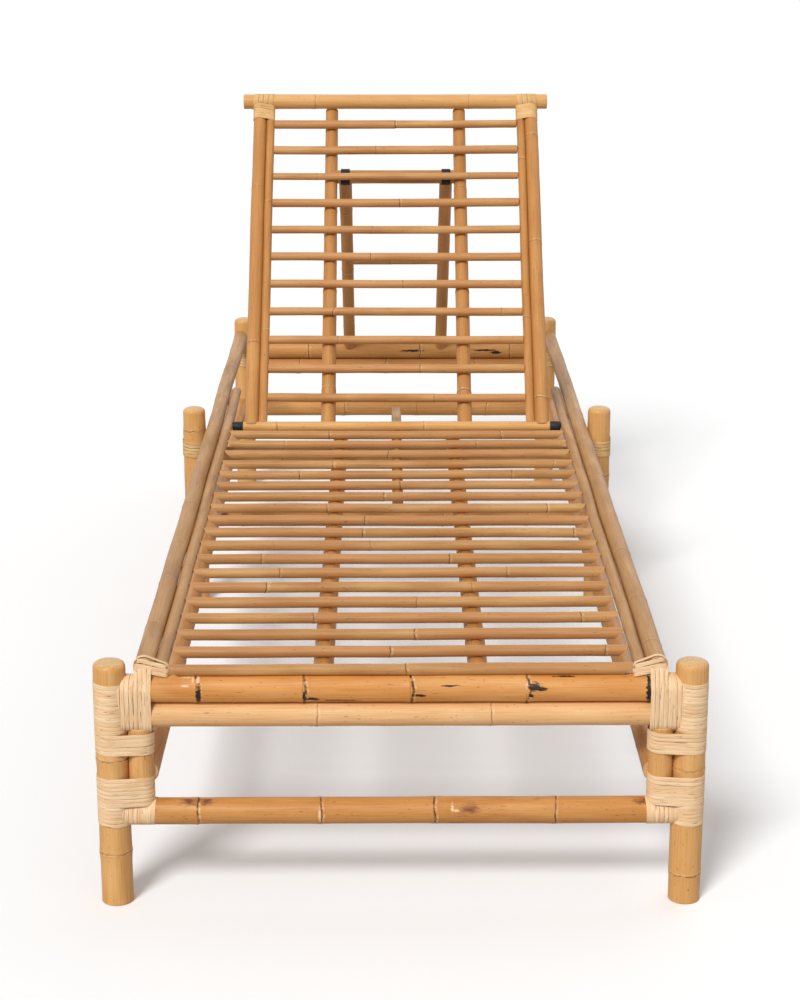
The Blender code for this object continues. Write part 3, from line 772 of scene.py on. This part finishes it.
# %% Seat slats
SEAT_BOW = (0, 0.0065, 0.0012)
SEAT_GIRTHS = (1.04, 1.13)
SLAT_SPACING = 0.34
SLAT_REACH = 0.0016
END_SLANT = 1.2


def slanted_ends(start, end, radius):
    """Gives the function that saws both ends of one slat."""
    def saw_both(made):
        for tip, sign in ((start, -1), (end, 1)):
            saw(made, tip + Vector((0, 0, radius)), (sign, 0, -END_SLANT))
    return saw_both


for number, group in enumerate(slat_groups, 1):
    start, end, radius = slat_line(group)
    extra = Vector((SLAT_REACH, 0, 0))
    start, end = start - extra, end + extra
    knuckles = spread_knuckles((end - start).length, SLAT_SPACING)
    slat = cane_pole(f"seat_slat_{number:02d}", start, end, radius, SEAT_SLAT, knuckles, SLAT_SIDES, SEAT_BOW,
                     girth=(chance.uniform(*SEAT_GIRTHS), chance.uniform(*SEAT_GIRTHS)),
                     shape=slanted_ends(start, end, radius))
    keep_cane(slat, "frame")
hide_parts("seat_deck")

# %% Seat bearers
SEAT_BEARER_RADIUS = 0.0135
CENTRE_BEARER_RADIUS = 0.009
first_start, _, first_radius = slat_line(slat_groups[0])
bearer_top = first_start.z - first_radius
low_corners = [corner for corner in deck_corners if corner.z < bearer_top - 2 * CENTRE_BEARER_RADIUS]
sideways = [abs(corner.x) for corner in low_corners]
bearer_x = (min(sideways) + max(sideways)) / 2
bearer_start = min(corner.y for corner in low_corners)
bearer_end = max(corner.y for corner in low_corners)
tail_end = max(corner.y for corner in deck_corners)
tail_top = max(corner.z for corner in deck_corners if corner.y > tail_end - TIP_ROOM)
CENTRE_BEARER_LENGTH = 0.62
PLANED_DEPTH = 0.0038
PLANE_SIZE = 0.1


def plane_flat(made):
    """Takes the top off the tail of the centre bearer, where the back's bar turns above it."""
    deselect()
    bpy.ops.mesh.primitive_cube_add(size=1.0, location=(0, (bearer_end + 1) / 2, tail_top + PLANE_SIZE / 2),
                                    scale=(PLANE_SIZE, 1 - bearer_end, PLANE_SIZE))
    subtract(made, bpy.context.object)


def seat_bearer(name, x, y_start, y_end, top, radius, spacing, **more):
    start, end = Vector((x, y_start, top - radius)), Vector((x, y_end, top - radius))
    bearer = cane_pole(name, start, end, radius, knuckles=spread_knuckles(y_end - y_start, spacing),
                       sides=SLAT_SIDES, **more)
    keep_cane(bearer, "frame")


for side, sign in SIDES:
    seat_bearer(f"seat_bearer_{side}", sign * bearer_x, bearer_start, bearer_end, bearer_top,
                SEAT_BEARER_RADIUS, 0.2, finish=HONEY)
seat_bearer("centre_bearer", 0.0, tail_end - CENTRE_BEARER_LENGTH, tail_end, tail_top + PLANED_DEPTH,
            CENTRE_BEARER_RADIUS, 0.25, finish=DULL, girth=FULL, shape=plane_flat)
print(f"bearers at X {bearer_x:.4f}, from Y {bearer_start:.3f} to {bearer_end:.3f}")

# %% [markdown]
# ## The back
#
# The back is a ladder of slats between doubled stiles, on a bar with a black bush at each end. Its poles
# are measured in the frame that leans with it and set out in the world. The folded prop passes close under
# the ninth slat, so that slat is kept slim.

# %% Poles of the back
BACK_BOW = (0, 0.0032, 0.0032)
STILE_BOW = (0.0022, 0, 0)
BACK_GIRTHS = (1.08, 1.17)
SNUG_SLAT = "back_slat_09"
SNUG_GIRTH = (0.97, 0.97)
STILE_KNUCKLES = {"left": (0.172, 0.520), "right": (0.054, 0.395, 0.640)}


def back_pole(node, finish, **more):
    dress(node, "backrest", finish, lean=BACK, **more)


back_pole("pivot_bar", STRAW, spacing=0.24, sides=SLAT_SIDES, girth=FULL)
back_pole("back_top_rail", STRAW, spacing=0.26, bow=(0, 0.001, 0.001))
for side, _ in SIDES:
    ends = ("pivot_bar", "back_top_rail")
    back_pole(f"back_stile_{side}", HONEY, knuckles=STILE_KNUCKLES[side], meets=ends, bow=STILE_BOW,
              girth=(1.02, 1.0))
    back_pole(f"inner_stile_{side}", HONEY, spacing=0.3, meets=ends, bow=STILE_BOW, sides=SLAT_SIDES,
              girth=(1.08, 1.08))
    back_pole(f"back_bearer_{side}", HONEY, spacing=0.2, meets=ends, girth=(1.07, 0.97))
back_slats = sorted(node for node in frame["nodes"] if node.startswith("back_slat_"))
for node in back_slats:
    girth = (chance.uniform(*BACK_GIRTHS), chance.uniform(*BACK_GIRTHS))
    if node == SNUG_SLAT:
        girth = SNUG_GIRTH
    back_pole(node, BACK_SLAT, spacing=SLAT_SPACING, bow=BACK_BOW, sides=SLAT_SIDES, girth=girth)
back_pole("prop_hinge_bar", HONEY, spacing=0.3, meets=("back_bearer_left", "back_bearer_right"))
print(f"a back of {len(back_slats)} slats")

# %% [markdown]
# ## The prop
#
# Two legs hang from the bar on two sleeves, with a rung between them. Each foot is sawn at a slant to sit
# on the rear rail. The slant is read from the construction: of the leg's faces that look down the leg, the
# lowest.

# %% Prop legs and rung
HUB_REACH = Vector((0.03, 0, 0))
FACES_DOWN = 0.7


def leg_ends(node, low, high):
    """Gives the function that fits one leg to its sleeve's box and saws its foot."""
    hub = (low + high) / 2
    down_the_leg = (PROP.to_3x3() @ Vector((0, 1, 0))).normalized()
    faces = frame["nodes"][node].data.polygons
    faces = [face for face in faces if face.normal.dot(down_the_leg) > FACES_DOWN]
    foot = min(faces, key=lambda face: face.center.z)
    place, facing = foot.center.copy(), foot.normal.copy()

    def fit(leg):
        cope(leg, hub - HUB_REACH, hub + HUB_REACH, (high.z - low.z) / 2)
        saw(leg, place, facing)
    return fit


for side, _ in SIDES:
    node = f"prop_leg_{side}"
    fit_leg = leg_ends(node, *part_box(f"prop_sleeve_{side}"))
    dress(node, "prop", HONEY, spacing=0.22, lean=PROP, girth=(1.08, 1.04), shape=fit_leg)
dress("prop_cross_bar", "prop", HONEY, spacing=0.3, lean=PROP, meets=("prop_leg_left", "prop_leg_right"))
print("a prop of two legs and a rung")

# %% [markdown]
# ## Black rubber
#
# The pivot bar has a short bush with a pin at each end, and the prop hangs on two sleeves. A bush is spun
# like a pole, with rounded rims. A sleeve is an open tube that Solidify thickens and Bevel softens.

# %% Rubber finish
def rubber_finish():
    finish, tree, shader = new_finish("black_rubber")
    place = object_place(tree)
    dust = stretched_noise(tree, place, (160.0, 160.0, 160.0), 4.0)
    grain = stretched_noise(tree, place, (1400.0, 1400.0, 1400.0), 2.0)
    colour = blend(tree, remap(tree, dust, 0.45, 0.75), (0.009, 0.009, 0.010, 1), (0.026, 0.025, 0.024, 1))
    link_finish(tree, shader, colour, remap(tree, dust, 0.3, 0.7, 0.45, 0.7), grain, 0.2, 0.0003)
    return finish


RUBBER = rubber_finish()


def keep_rubber(made, node, body):
    settle(made)
    cover(made, RUBBER)
    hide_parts(node)
    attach(made, body)


# %% Bushes and sleeves
RIM = 0.0012
PIN_RADIUS = 0.0035
for side, sign in SIDES:
    node = f"pivot_bush_{side}"
    low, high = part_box(node)
    middle = (low + high) / 2
    inner_low, inner_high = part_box(f"inner_rail_{side}")
    face = inner_low.x if sign > 0 else -inner_high.x
    inside, outside = sorted((abs(low.x), abs(high.x)))
    radius = (high.z - low.z) / 2
    body_end = face - inside - COPE_ROOM
    profile = [(radius - RIM, 0.0), (radius - RIM / 3, RIM / 3), (radius, RIM), (radius, body_end - RIM),
               (radius - RIM / 3, body_end - RIM / 3), (radius - RIM, body_end), (PIN_RADIUS, body_end),
               (PIN_RADIUS, outside - inside), (0.0, outside - inside)]
    bush = spun(f"rubber_bush_{side}", profile, RAIL_SIDES)
    start = Vector((sign * inside, middle.y, middle.z))
    bush.matrix_world = upright_at(start, start + Vector((sign, 0, 0)))
    keep_rubber(bush, node, "backrest")

SLEEVE_WALL = 0.0022
for side, _ in SIDES:
    node = f"prop_sleeve_{side}"
    low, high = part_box(node)
    deselect()
    bpy.ops.mesh.primitive_cylinder_add(vertices=CUTTER_SIDES, radius=(high.z - low.z) / 2,
                                        depth=high.x - low.x, end_fill_type="NOTHING",
                                        location=(low + high) / 2, rotation=(0, math.pi / 2, 0))
    sleeve = bpy.context.object
    sleeve.name = f"rubber_sleeve_{side}"
    wall = sleeve.modifiers.new("wall", "SOLIDIFY")
    wall.thickness = SLEEVE_WALL
    rim = sleeve.modifiers.new("rim", "BEVEL")
    rim.width = RIM / 2
    rim.segments = 3
    for modifier in ("wall", "rim"):
        bpy.ops.object.modifier_apply(modifier=modifier)
    keep_rubber(sleeve, node, "prop")
print("two bushes and two sleeves")

# %% [markdown]
# ## Split cane for the lashings
#
# The corners are bound with peel, the pale outer strip of the cane, wound tight and close. Its streaks run
# along the strip, so the finish reads the strip's own measures: fibre is a place along and across it, and
# joint is a tint that changes from turn to turn.

# %% Peel finish
PEEL_SHADE = (0.72, 0.56, 0.42, 1)
PEEL_NICK = (0.22, 0.12, 0.05, 1)


def peel_finish(name, pale, warm):
    finish, tree, shader = new_finish(name)
    fibre = attribute(tree, "fibre", "Vector")
    streak = stretched_noise(tree, fibre, (26.0, 1500.0, 3.0))
    stain = stretched_noise(tree, fibre, (22.0, 90.0, 1.5))
    nick = stretched_noise(tree, fibre, (45.0, 700.0, 5.0), 1.0)
    colour = blend(tree, times(tree, attribute(tree, "joint"), 0.8), (*pale, 1), (*warm, 1))
    colour = blend(tree, remap(tree, stain, 0.45, 0.7, 0.0, 0.7), colour, (*warm, 1))
    colour = blend(tree, remap(tree, streak, 0.45, 0.68, 0.0, 0.8), colour, PEEL_SHADE, "MULTIPLY")
    colour = blend(tree, remap(tree, nick, 0.68, 0.73, 0.0, 0.8), colour, PEEL_NICK)
    link_finish(tree, shader, colour, remap(tree, streak, 0.3, 0.7, 0.5, 0.68), streak, 0.5, 0.0005)
    return finish


PEEL = peel_finish("split_cane_peel", (0.96, 0.71, 0.45), (0.86, 0.57, 0.31))
AGED_PEEL = peel_finish("aged_cane_peel", (0.82, 0.54, 0.25), (0.68, 0.41, 0.16))

# %% [markdown]
# ## Winding
#
# A strip is pulled tight, so one turn of it is the shortest loop round the poles that it binds. In each
# direction the loop lies on the pole that reaches furthest that way. A flat curve follows the loop and
# moves on a little with each turn. Small tilts and lifts keep the turns from looking machined. Converting
# the curve gives the mesh.

# %% Wind a strip round poles
LOOP_POINTS = 36
STRIP_WIDTH = 0.0057
STRIP_THICKNESS = 0.0008
UNEVENNESS = 0.0004
TURN_TILTS = (-1, 1)
TURN_LIFTS = (0, 0.6)
TURN_SWAYS = (-0.8, 0.8)
TURN_WIDTHS = (0.84, 1.1)
TINTS = 80
USUAL_RADIUS = 0.03
TURN_SHIFT = 0.37


def furthest(circles, way):
    return max(circles, key=lambda circle: circle[0] * way.x + circle[1] * way.y + circle[2])


def wound_path(runs, top, pitch):
    """Points of one strip; runs holds (circles, turns), and circles may depend on the height."""
    path = []
    height = top
    tilt, phase, lift, width = 0.0, 0.0, 0.0, 1.0
    for circles, turns in runs:
        for _ in range(turns):
            next_tilt = chance.uniform(*TURN_TILTS) * UNEVENNESS
            next_lift = chance.uniform(*TURN_LIFTS) * UNEVENNESS
            next_phase = phase + chance.uniform(*TURN_SWAYS)
            next_width = chance.uniform(*TURN_WIDTHS)
            for k in range(LOOP_POINTS):
                share = k / LOOP_POINTS
                angle = 2 * math.pi * share
                way = Vector((math.cos(angle), math.sin(angle)))
                x, y, radius = furthest(circles(height) if callable(circles) else circles, way)
                lean = (tilt + (next_tilt - tilt) * share) * math.sin(angle + phase)
                out = radius + STRIP_THICKNESS / 2 + lift + (next_lift - lift) * share
                spread = width + (next_width - width) * share
                path.append((x + way.x * out, y + way.y * out, height + lean, spread))
                height += pitch / LOOP_POINTS
            tilt, lift, phase, width = next_tilt, next_lift, next_phase, next_width
    return path


def strip_from(name, path, width, centre, top, pitch):
    curve = bpy.data.curves.new(name, "CURVE")
    curve.dimensions = "3D"
    curve.twist_mode = "Z_UP"
    curve.extrude = (width - STRIP_THICKNESS) / 2
    curve.bevel_depth = STRIP_THICKNESS / 2
    curve.bevel_resolution = 2
    curve.use_fill_caps = True
    spline = curve.splines.new("POLY")
    spline.points.add(len(path) - 1)
    for point, (x, y, z, spread) in zip(spline.points, path):
        point.co = (x, y, z, 1.0)
        point.radius = spread
    made = bpy.data.objects.new(name, curve)
    bpy.context.scene.collection.objects.link(made)
    choose(made)
    bpy.ops.object.convert(target="MESH")
    made = bpy.context.object
    places = np.array([corner.co for corner in made.data.vertices])
    angle = np.arctan2(places[:, 1] - centre[1], places[:, 0] - centre[0]) % (2 * math.pi)
    turn = np.floor((places[:, 2] - top) / pitch - angle / (2 * math.pi) + 0.5)
    tints = np.array([chance.random() for _ in range(TINTS)])
    start = chance.uniform(0, 30)
    fibre = np.stack([angle * USUAL_RADIUS + start, places[:, 2], turn * TURN_SHIFT], 1)
    note(made.data, "fibre", "FLOAT_VECTOR", fibre)
    note(made.data, "joint", "FLOAT", tints[turn.astype(int) % TINTS])
    return made


def keep_strip(made, body, finish):
    cover(made, finish)
    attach(made, body)


def wind(name, body, runs, top, pitch, place=LEVEL, node=None, width=STRIP_WIDTH, finish=PEEL):
    first = runs[0][0](top) if callable(runs[0][0]) else runs[0][0]
    made = strip_from(name, wound_path(runs, top, pitch), width, first[0], top, pitch)
    made.matrix_world = place
    settle(made)
    keep_strip(made, body, finish)
    if node:
        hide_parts(node)


# %% [markdown]
# ## Lashings on the posts
#
# At each front corner one strip winds down the post, then takes in the short strut beside it. A second
# strip does the same lower down, the other way about. The middle and rear posts have a plain band each.

# %% Bind the posts
PITCH = -0.0057
HALF_STRIP = STRIP_WIDTH / 2
BINDING_LAYER = 0.0012


def circle_of(node):
    start, _, radius = measure(node)
    return (start.x, start.y, radius)


def turns_between(high, low):
    return max(1, round((high - low) / -PITCH))


second_rail_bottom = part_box("front_second_rail")[0].z
stretcher_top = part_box("front_stretcher")[1].z
for side, _ in SIDES:
    post, strut = circle_of(f"front_post_{side}"), circle_of(f"front_strut_{side}")
    over_binding = (strut[0], strut[1], strut[2] + BINDING_LAYER)
    for level, change, first, then in (
        ("upper", second_rail_bottom, [post], [post, over_binding]),
        ("lower", stretcher_top, [post, strut], [post]),
    ):
        node = f"front_{level}_lashing_{side}"
        low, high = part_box(node)
        runs = [(first, turns_between(high.z, change)), (then, turns_between(change, low.z))]
        wind(f"peel_{node}", "frame", runs, high.z - HALF_STRIP, PITCH, node=node)
    for level in ("middle", "rear"):
        node = f"{level}_lashing_{side}"
        low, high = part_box(node)
        runs = [([circle_of(f"{level}_post_{side}")], turns_between(high.z, low.z) - 1)]
        wind(f"peel_{node}", "frame", runs, high.z - HALF_STRIP, PITCH, node=node, finish=AGED_PEEL)
print("eight lashings on the posts")

# %% [markdown]
# ## Lashings on the rails
#
# Between the post and the strut's inner edge, strips stand upright round both front rails and over the end
# of the side rail, and more go round the low stretcher. A broad strip ties each side rail to its inner
# rail, and three strips cross their sawn ends. At the head of the back, a band round each pair of stiles
# laps onto the top rail, and a few broad turns go round that rail. A winding along a rail is wound upright
# and then laid over.

# %% Bind the front rails
ALONG_X = Matrix(((0, 0, 1, 0), (1, 0, 0, 0), (0, 1, 0, 0), (0, 0, 0, 1)))
ALONG_Y = Matrix(((1, 0, 0, 0), (0, 0, 1, 0), (0, -1, 0, 0), (0, 0, 0, 1)))
STRAP_WIDTH = 0.0065
STRAP_CLIMB = 0.0004
END_BAND_AHEAD = 0.0020
END_BAND_TAIL = 0.012
END_BAND_FALL = 0.3
END_BAND_LOWEST = 0.003
CORNER_INSET = 0.004
CORNER_RADIUS = 0.0044
CORNER_STEPS = 6
STRUT_INSET = 0.004
STRUT_DROP = 0.007
CREST_RADIUS = 0.006


def rail_circle(node):
    start, _, radius = measure(node)
    return (start.y, start.z, radius)


def half_width(radius, top_drop):
    return math.sqrt(max(radius ** 2 - (radius - top_drop) ** 2, 0.25 * radius ** 2))


def across_the_ends(outer, inner, sign, drop):
    """A strip's path from the inner rail's side, across both sawn ends, to the outer rail's side."""
    (outer_place, outer_radius), (inner_place, inner_radius) = outer, inner
    front = outer_place.y - END_BAND_AHEAD
    outer_top, inner_top = outer_place.z + outer_radius, inner_place.z + inner_radius
    near = inner_place.x - sign * half_width(inner_radius, drop)
    far = outer_place.x + sign * half_width(outer_radius, drop)
    flat = [(near, front + END_BAND_TAIL)]
    for corner, start in ((near + sign * CORNER_INSET, math.pi), (far - sign * CORNER_INSET, 1.5 * math.pi)):
        for k in range(CORNER_STEPS + 1):
            angle = start + k / CORNER_STEPS * math.pi / 2
            flat.append((corner + sign * CORNER_RADIUS * math.cos(angle),
                         front + CORNER_RADIUS + CORNER_RADIUS * math.sin(angle)))
    flat.append((far, front + END_BAND_TAIL))
    path = []
    for x, y in flat:
        share = (x - inner_place.x) / (outer_place.x - inner_place.x)
        beyond = max(share - 1, -share, 0) * abs(outer_place.x - inner_place.x)
        level = inner_top + (outer_top - inner_top) * min(max(share, 0), 1)
        path.append((x, y, level - drop - min(beyond * END_BAND_FALL, END_BAND_LOWEST), 1.0))
    return path


for side, sign in SIDES:
    strut = circle_of(f"front_strut_{side}")
    post = circle_of(f"front_post_{side}")
    side_start, _, side_radius = measure(f"side_rail_{side}")
    inside = abs(strut[0]) - strut[2] - STRUT_INSET
    top_rail, second_rail = rail_circle("front_top_rail"), rail_circle("front_second_rail")
    below = (second_rail[0], second_rail[1] - STRUT_DROP, strut[2] + COPE_ROOM)

    def over_the_side_rail(x):
        away = abs(x - side_start.x) / side_radius
        if away > 1:
            return [top_rail, second_rail, below]
        rise = side_start.z + side_radius * math.sqrt(1 - away * away)
        crest = (side_start.y + CREST_RADIUS, rise - 2 * CREST_RADIUS, CREST_RADIUS)
        return [top_rail, second_rail, below, crest]

    for name, loop, radius in (
        ("front_rail_binding", over_the_side_rail, top_rail[2]),
        ("stretcher_binding", [rail_circle("front_stretcher")], rail_circle("front_stretcher")[2]),
    ):
        outside = abs(post[0]) - math.sqrt((post[2] + STRIP_THICKNESS) ** 2 - radius ** 2)
        turns = round((outside - inside) / -PITCH)
        wind(f"peel_{name}_{side}", "frame", [(loop, turns)], sign * (inside + HALF_STRIP), -sign * PITCH,
             ALONG_X)
    inner_start, _, inner_radius = measure(f"inner_rail_{side}")
    pair = [(side_start.x, -side_start.z, side_radius), (inner_start.x, -inner_start.z, inner_radius)]
    strap_start = side_start.y + STRAP_WIDTH / 2
    wind(f"peel_rail_strap_{side}", "frame", [(pair, 1)], strap_start, STRAP_CLIMB, ALONG_Y,
         width=STRAP_WIDTH)
    behind = (side_start.x, side_start.y + USUAL_RADIUS)
    for number in (1, 2, 3):
        drop = HALF_STRIP - (number - 1) * PITCH
        path = across_the_ends((side_start, side_radius), (inner_start, inner_radius), sign, drop)
        band = strip_from(f"peel_rail_end_band_{side}_{number}", path, STRIP_WIDTH, behind, 0.0, 1.0)
        keep_strip(band, "frame", PEEL)
print("bindings on the front rails, the stretcher and the side rails")

# %% Bind the head of the back
TOP_STRIP_WIDTH = 0.0085
TOP_STRIP_PITCH = 0.0098
TOP_STRIP_TURNS = 4
HEAD_OVERLAP = 0.0060
BACK_ACROSS = BACK @ ALONG_X
BACK_UP = BACK @ ALONG_Y
top_start, _, top_radius = measure("back_top_rail", BACK)
for side, sign in SIDES:
    stile_start, _, stile_radius = measure(f"back_stile_{side}", BACK)
    inner_start, _, inner_radius = measure(f"inner_stile_{side}", BACK)
    pair = [(stile_start.x, -stile_start.z, stile_radius), (inner_start.x, -inner_start.z, inner_radius)]
    node = f"back_lashing_{side}"
    corners = [(BACK.inverted() @ corner.co).y for corner in frame["nodes"][node].data.vertices]
    runs = [(pair, turns_between(max(corners), min(corners)))]
    wind(f"peel_{node}", "backrest", runs, max(corners) - HALF_STRIP + HEAD_OVERLAP, PITCH, BACK_UP,
         node=node, finish=AGED_PEEL)
    first = sign * (abs(inner_start.x) - inner_radius + TOP_STRIP_WIDTH / 2)
    runs = [([(top_start.y, top_start.z, top_radius)], TOP_STRIP_TURNS)]
    wind(f"peel_top_rail_binding_{side}", "backrest", runs, first, sign * TOP_STRIP_PITCH, BACK_ACROSS,
         width=TOP_STRIP_WIDTH, finish=AGED_PEEL)
print("bindings at the head of the back")

# %% [markdown]
# ## Floor, light and camera
#
# The lounger stands on a plain white floor under soft light, as for a catalogue. An even sky fills the
# shadows, and a broad sun high in front on the left gives the poles their roundness. A weak and very broad
# one from behind on the right lightens their far sides. The camera stands at the foot end, above the seat,
# with a long lens.

# %% Floor
FLOOR_SIZE = 120.0


def floor_finish():
    finish, tree, shader = new_finish("white_floor", specular=0.0)
    seen = add(tree, "ShaderNodeLightPath", {}).outputs["Is Camera Ray"]
    colour = blend(tree, seen, (0.55, 0.55, 0.55, 1), (0.98, 0.98, 0.98, 1))
    tree.links.new(colour, shader.inputs["Base Color"])
    shader.inputs["Roughness"].default_value = 0.9
    return finish


deselect()
bpy.ops.mesh.primitive_plane_add(size=FLOOR_SIZE, location=(0, 0, 0))
floor = bpy.context.object
floor.name = "floor"
floor.data.materials.append(floor_finish())

# %% Sky and sun
SKY_STRENGTH = 0.42
SUN_STRENGTH = 2.4
SUN_FROM = Vector((-0.45, -0.95, 1.0))
SUN_SPREAD = 18
FILL_STRENGTH = 0.5
FILL_FROM = Vector((0.7, 0.9, 1.0))
FILL_SPREAD = 60
SUN_DISTANCE = 5
scene = bpy.context.scene
world = bpy.data.worlds.new("soft_sky")
scene.world = world
world.use_nodes = True
sky_tree = world.node_tree
sky = sky_tree.nodes["Background"]
path = add(sky_tree, "ShaderNodeLightPath", {})
seen = math_node(sky_tree, "MAXIMUM", path.outputs["Is Camera Ray"], path.outputs["Is Glossy Ray"])
seen = math_node(sky_tree, "MAXIMUM", seen, path.outputs["Is Transmission Ray"])
sky_tree.links.new(remap(sky_tree, seen, 0.0, 1.0, SKY_STRENGTH, 1.0), sky.inputs["Strength"])
sky.inputs["Color"].default_value = (1, 1, 1, 1)


def add_sun(name, source, strength, spread):
    bpy.ops.object.light_add(type="SUN", location=source * SUN_DISTANCE)
    sun = bpy.context.object
    sun.name = name
    sun.rotation_euler = source.to_track_quat("Z", "Y").to_euler()
    sun.data.energy = strength
    sun.data.angle = math.radians(spread)


add_sun("key_sun", SUN_FROM, SUN_STRENGTH, SUN_SPREAD)
add_sun("fill_sun", FILL_FROM, FILL_STRENGTH, FILL_SPREAD)

# %% Camera
CAMERA_PLACE = (-0.017, -3.655, 1.347)
CAMERA_PITCH = 16.6
CAMERA_YAW = 0.34
CAMERA_LENS = 79.6
bpy.ops.object.camera_add(location=CAMERA_PLACE)
camera = bpy.context.object
camera.rotation_euler = (math.radians(90 - CAMERA_PITCH), 0, math.radians(-CAMERA_YAW))
camera.data.lens = CAMERA_LENS
camera.data.sensor_width = 36.0
scene.camera = camera
scene.view_settings.view_transform = "Standard"
print(f"a camera with a {CAMERA_LENS} mm lens, {CAMERA_PLACE[2]} m above the floor")
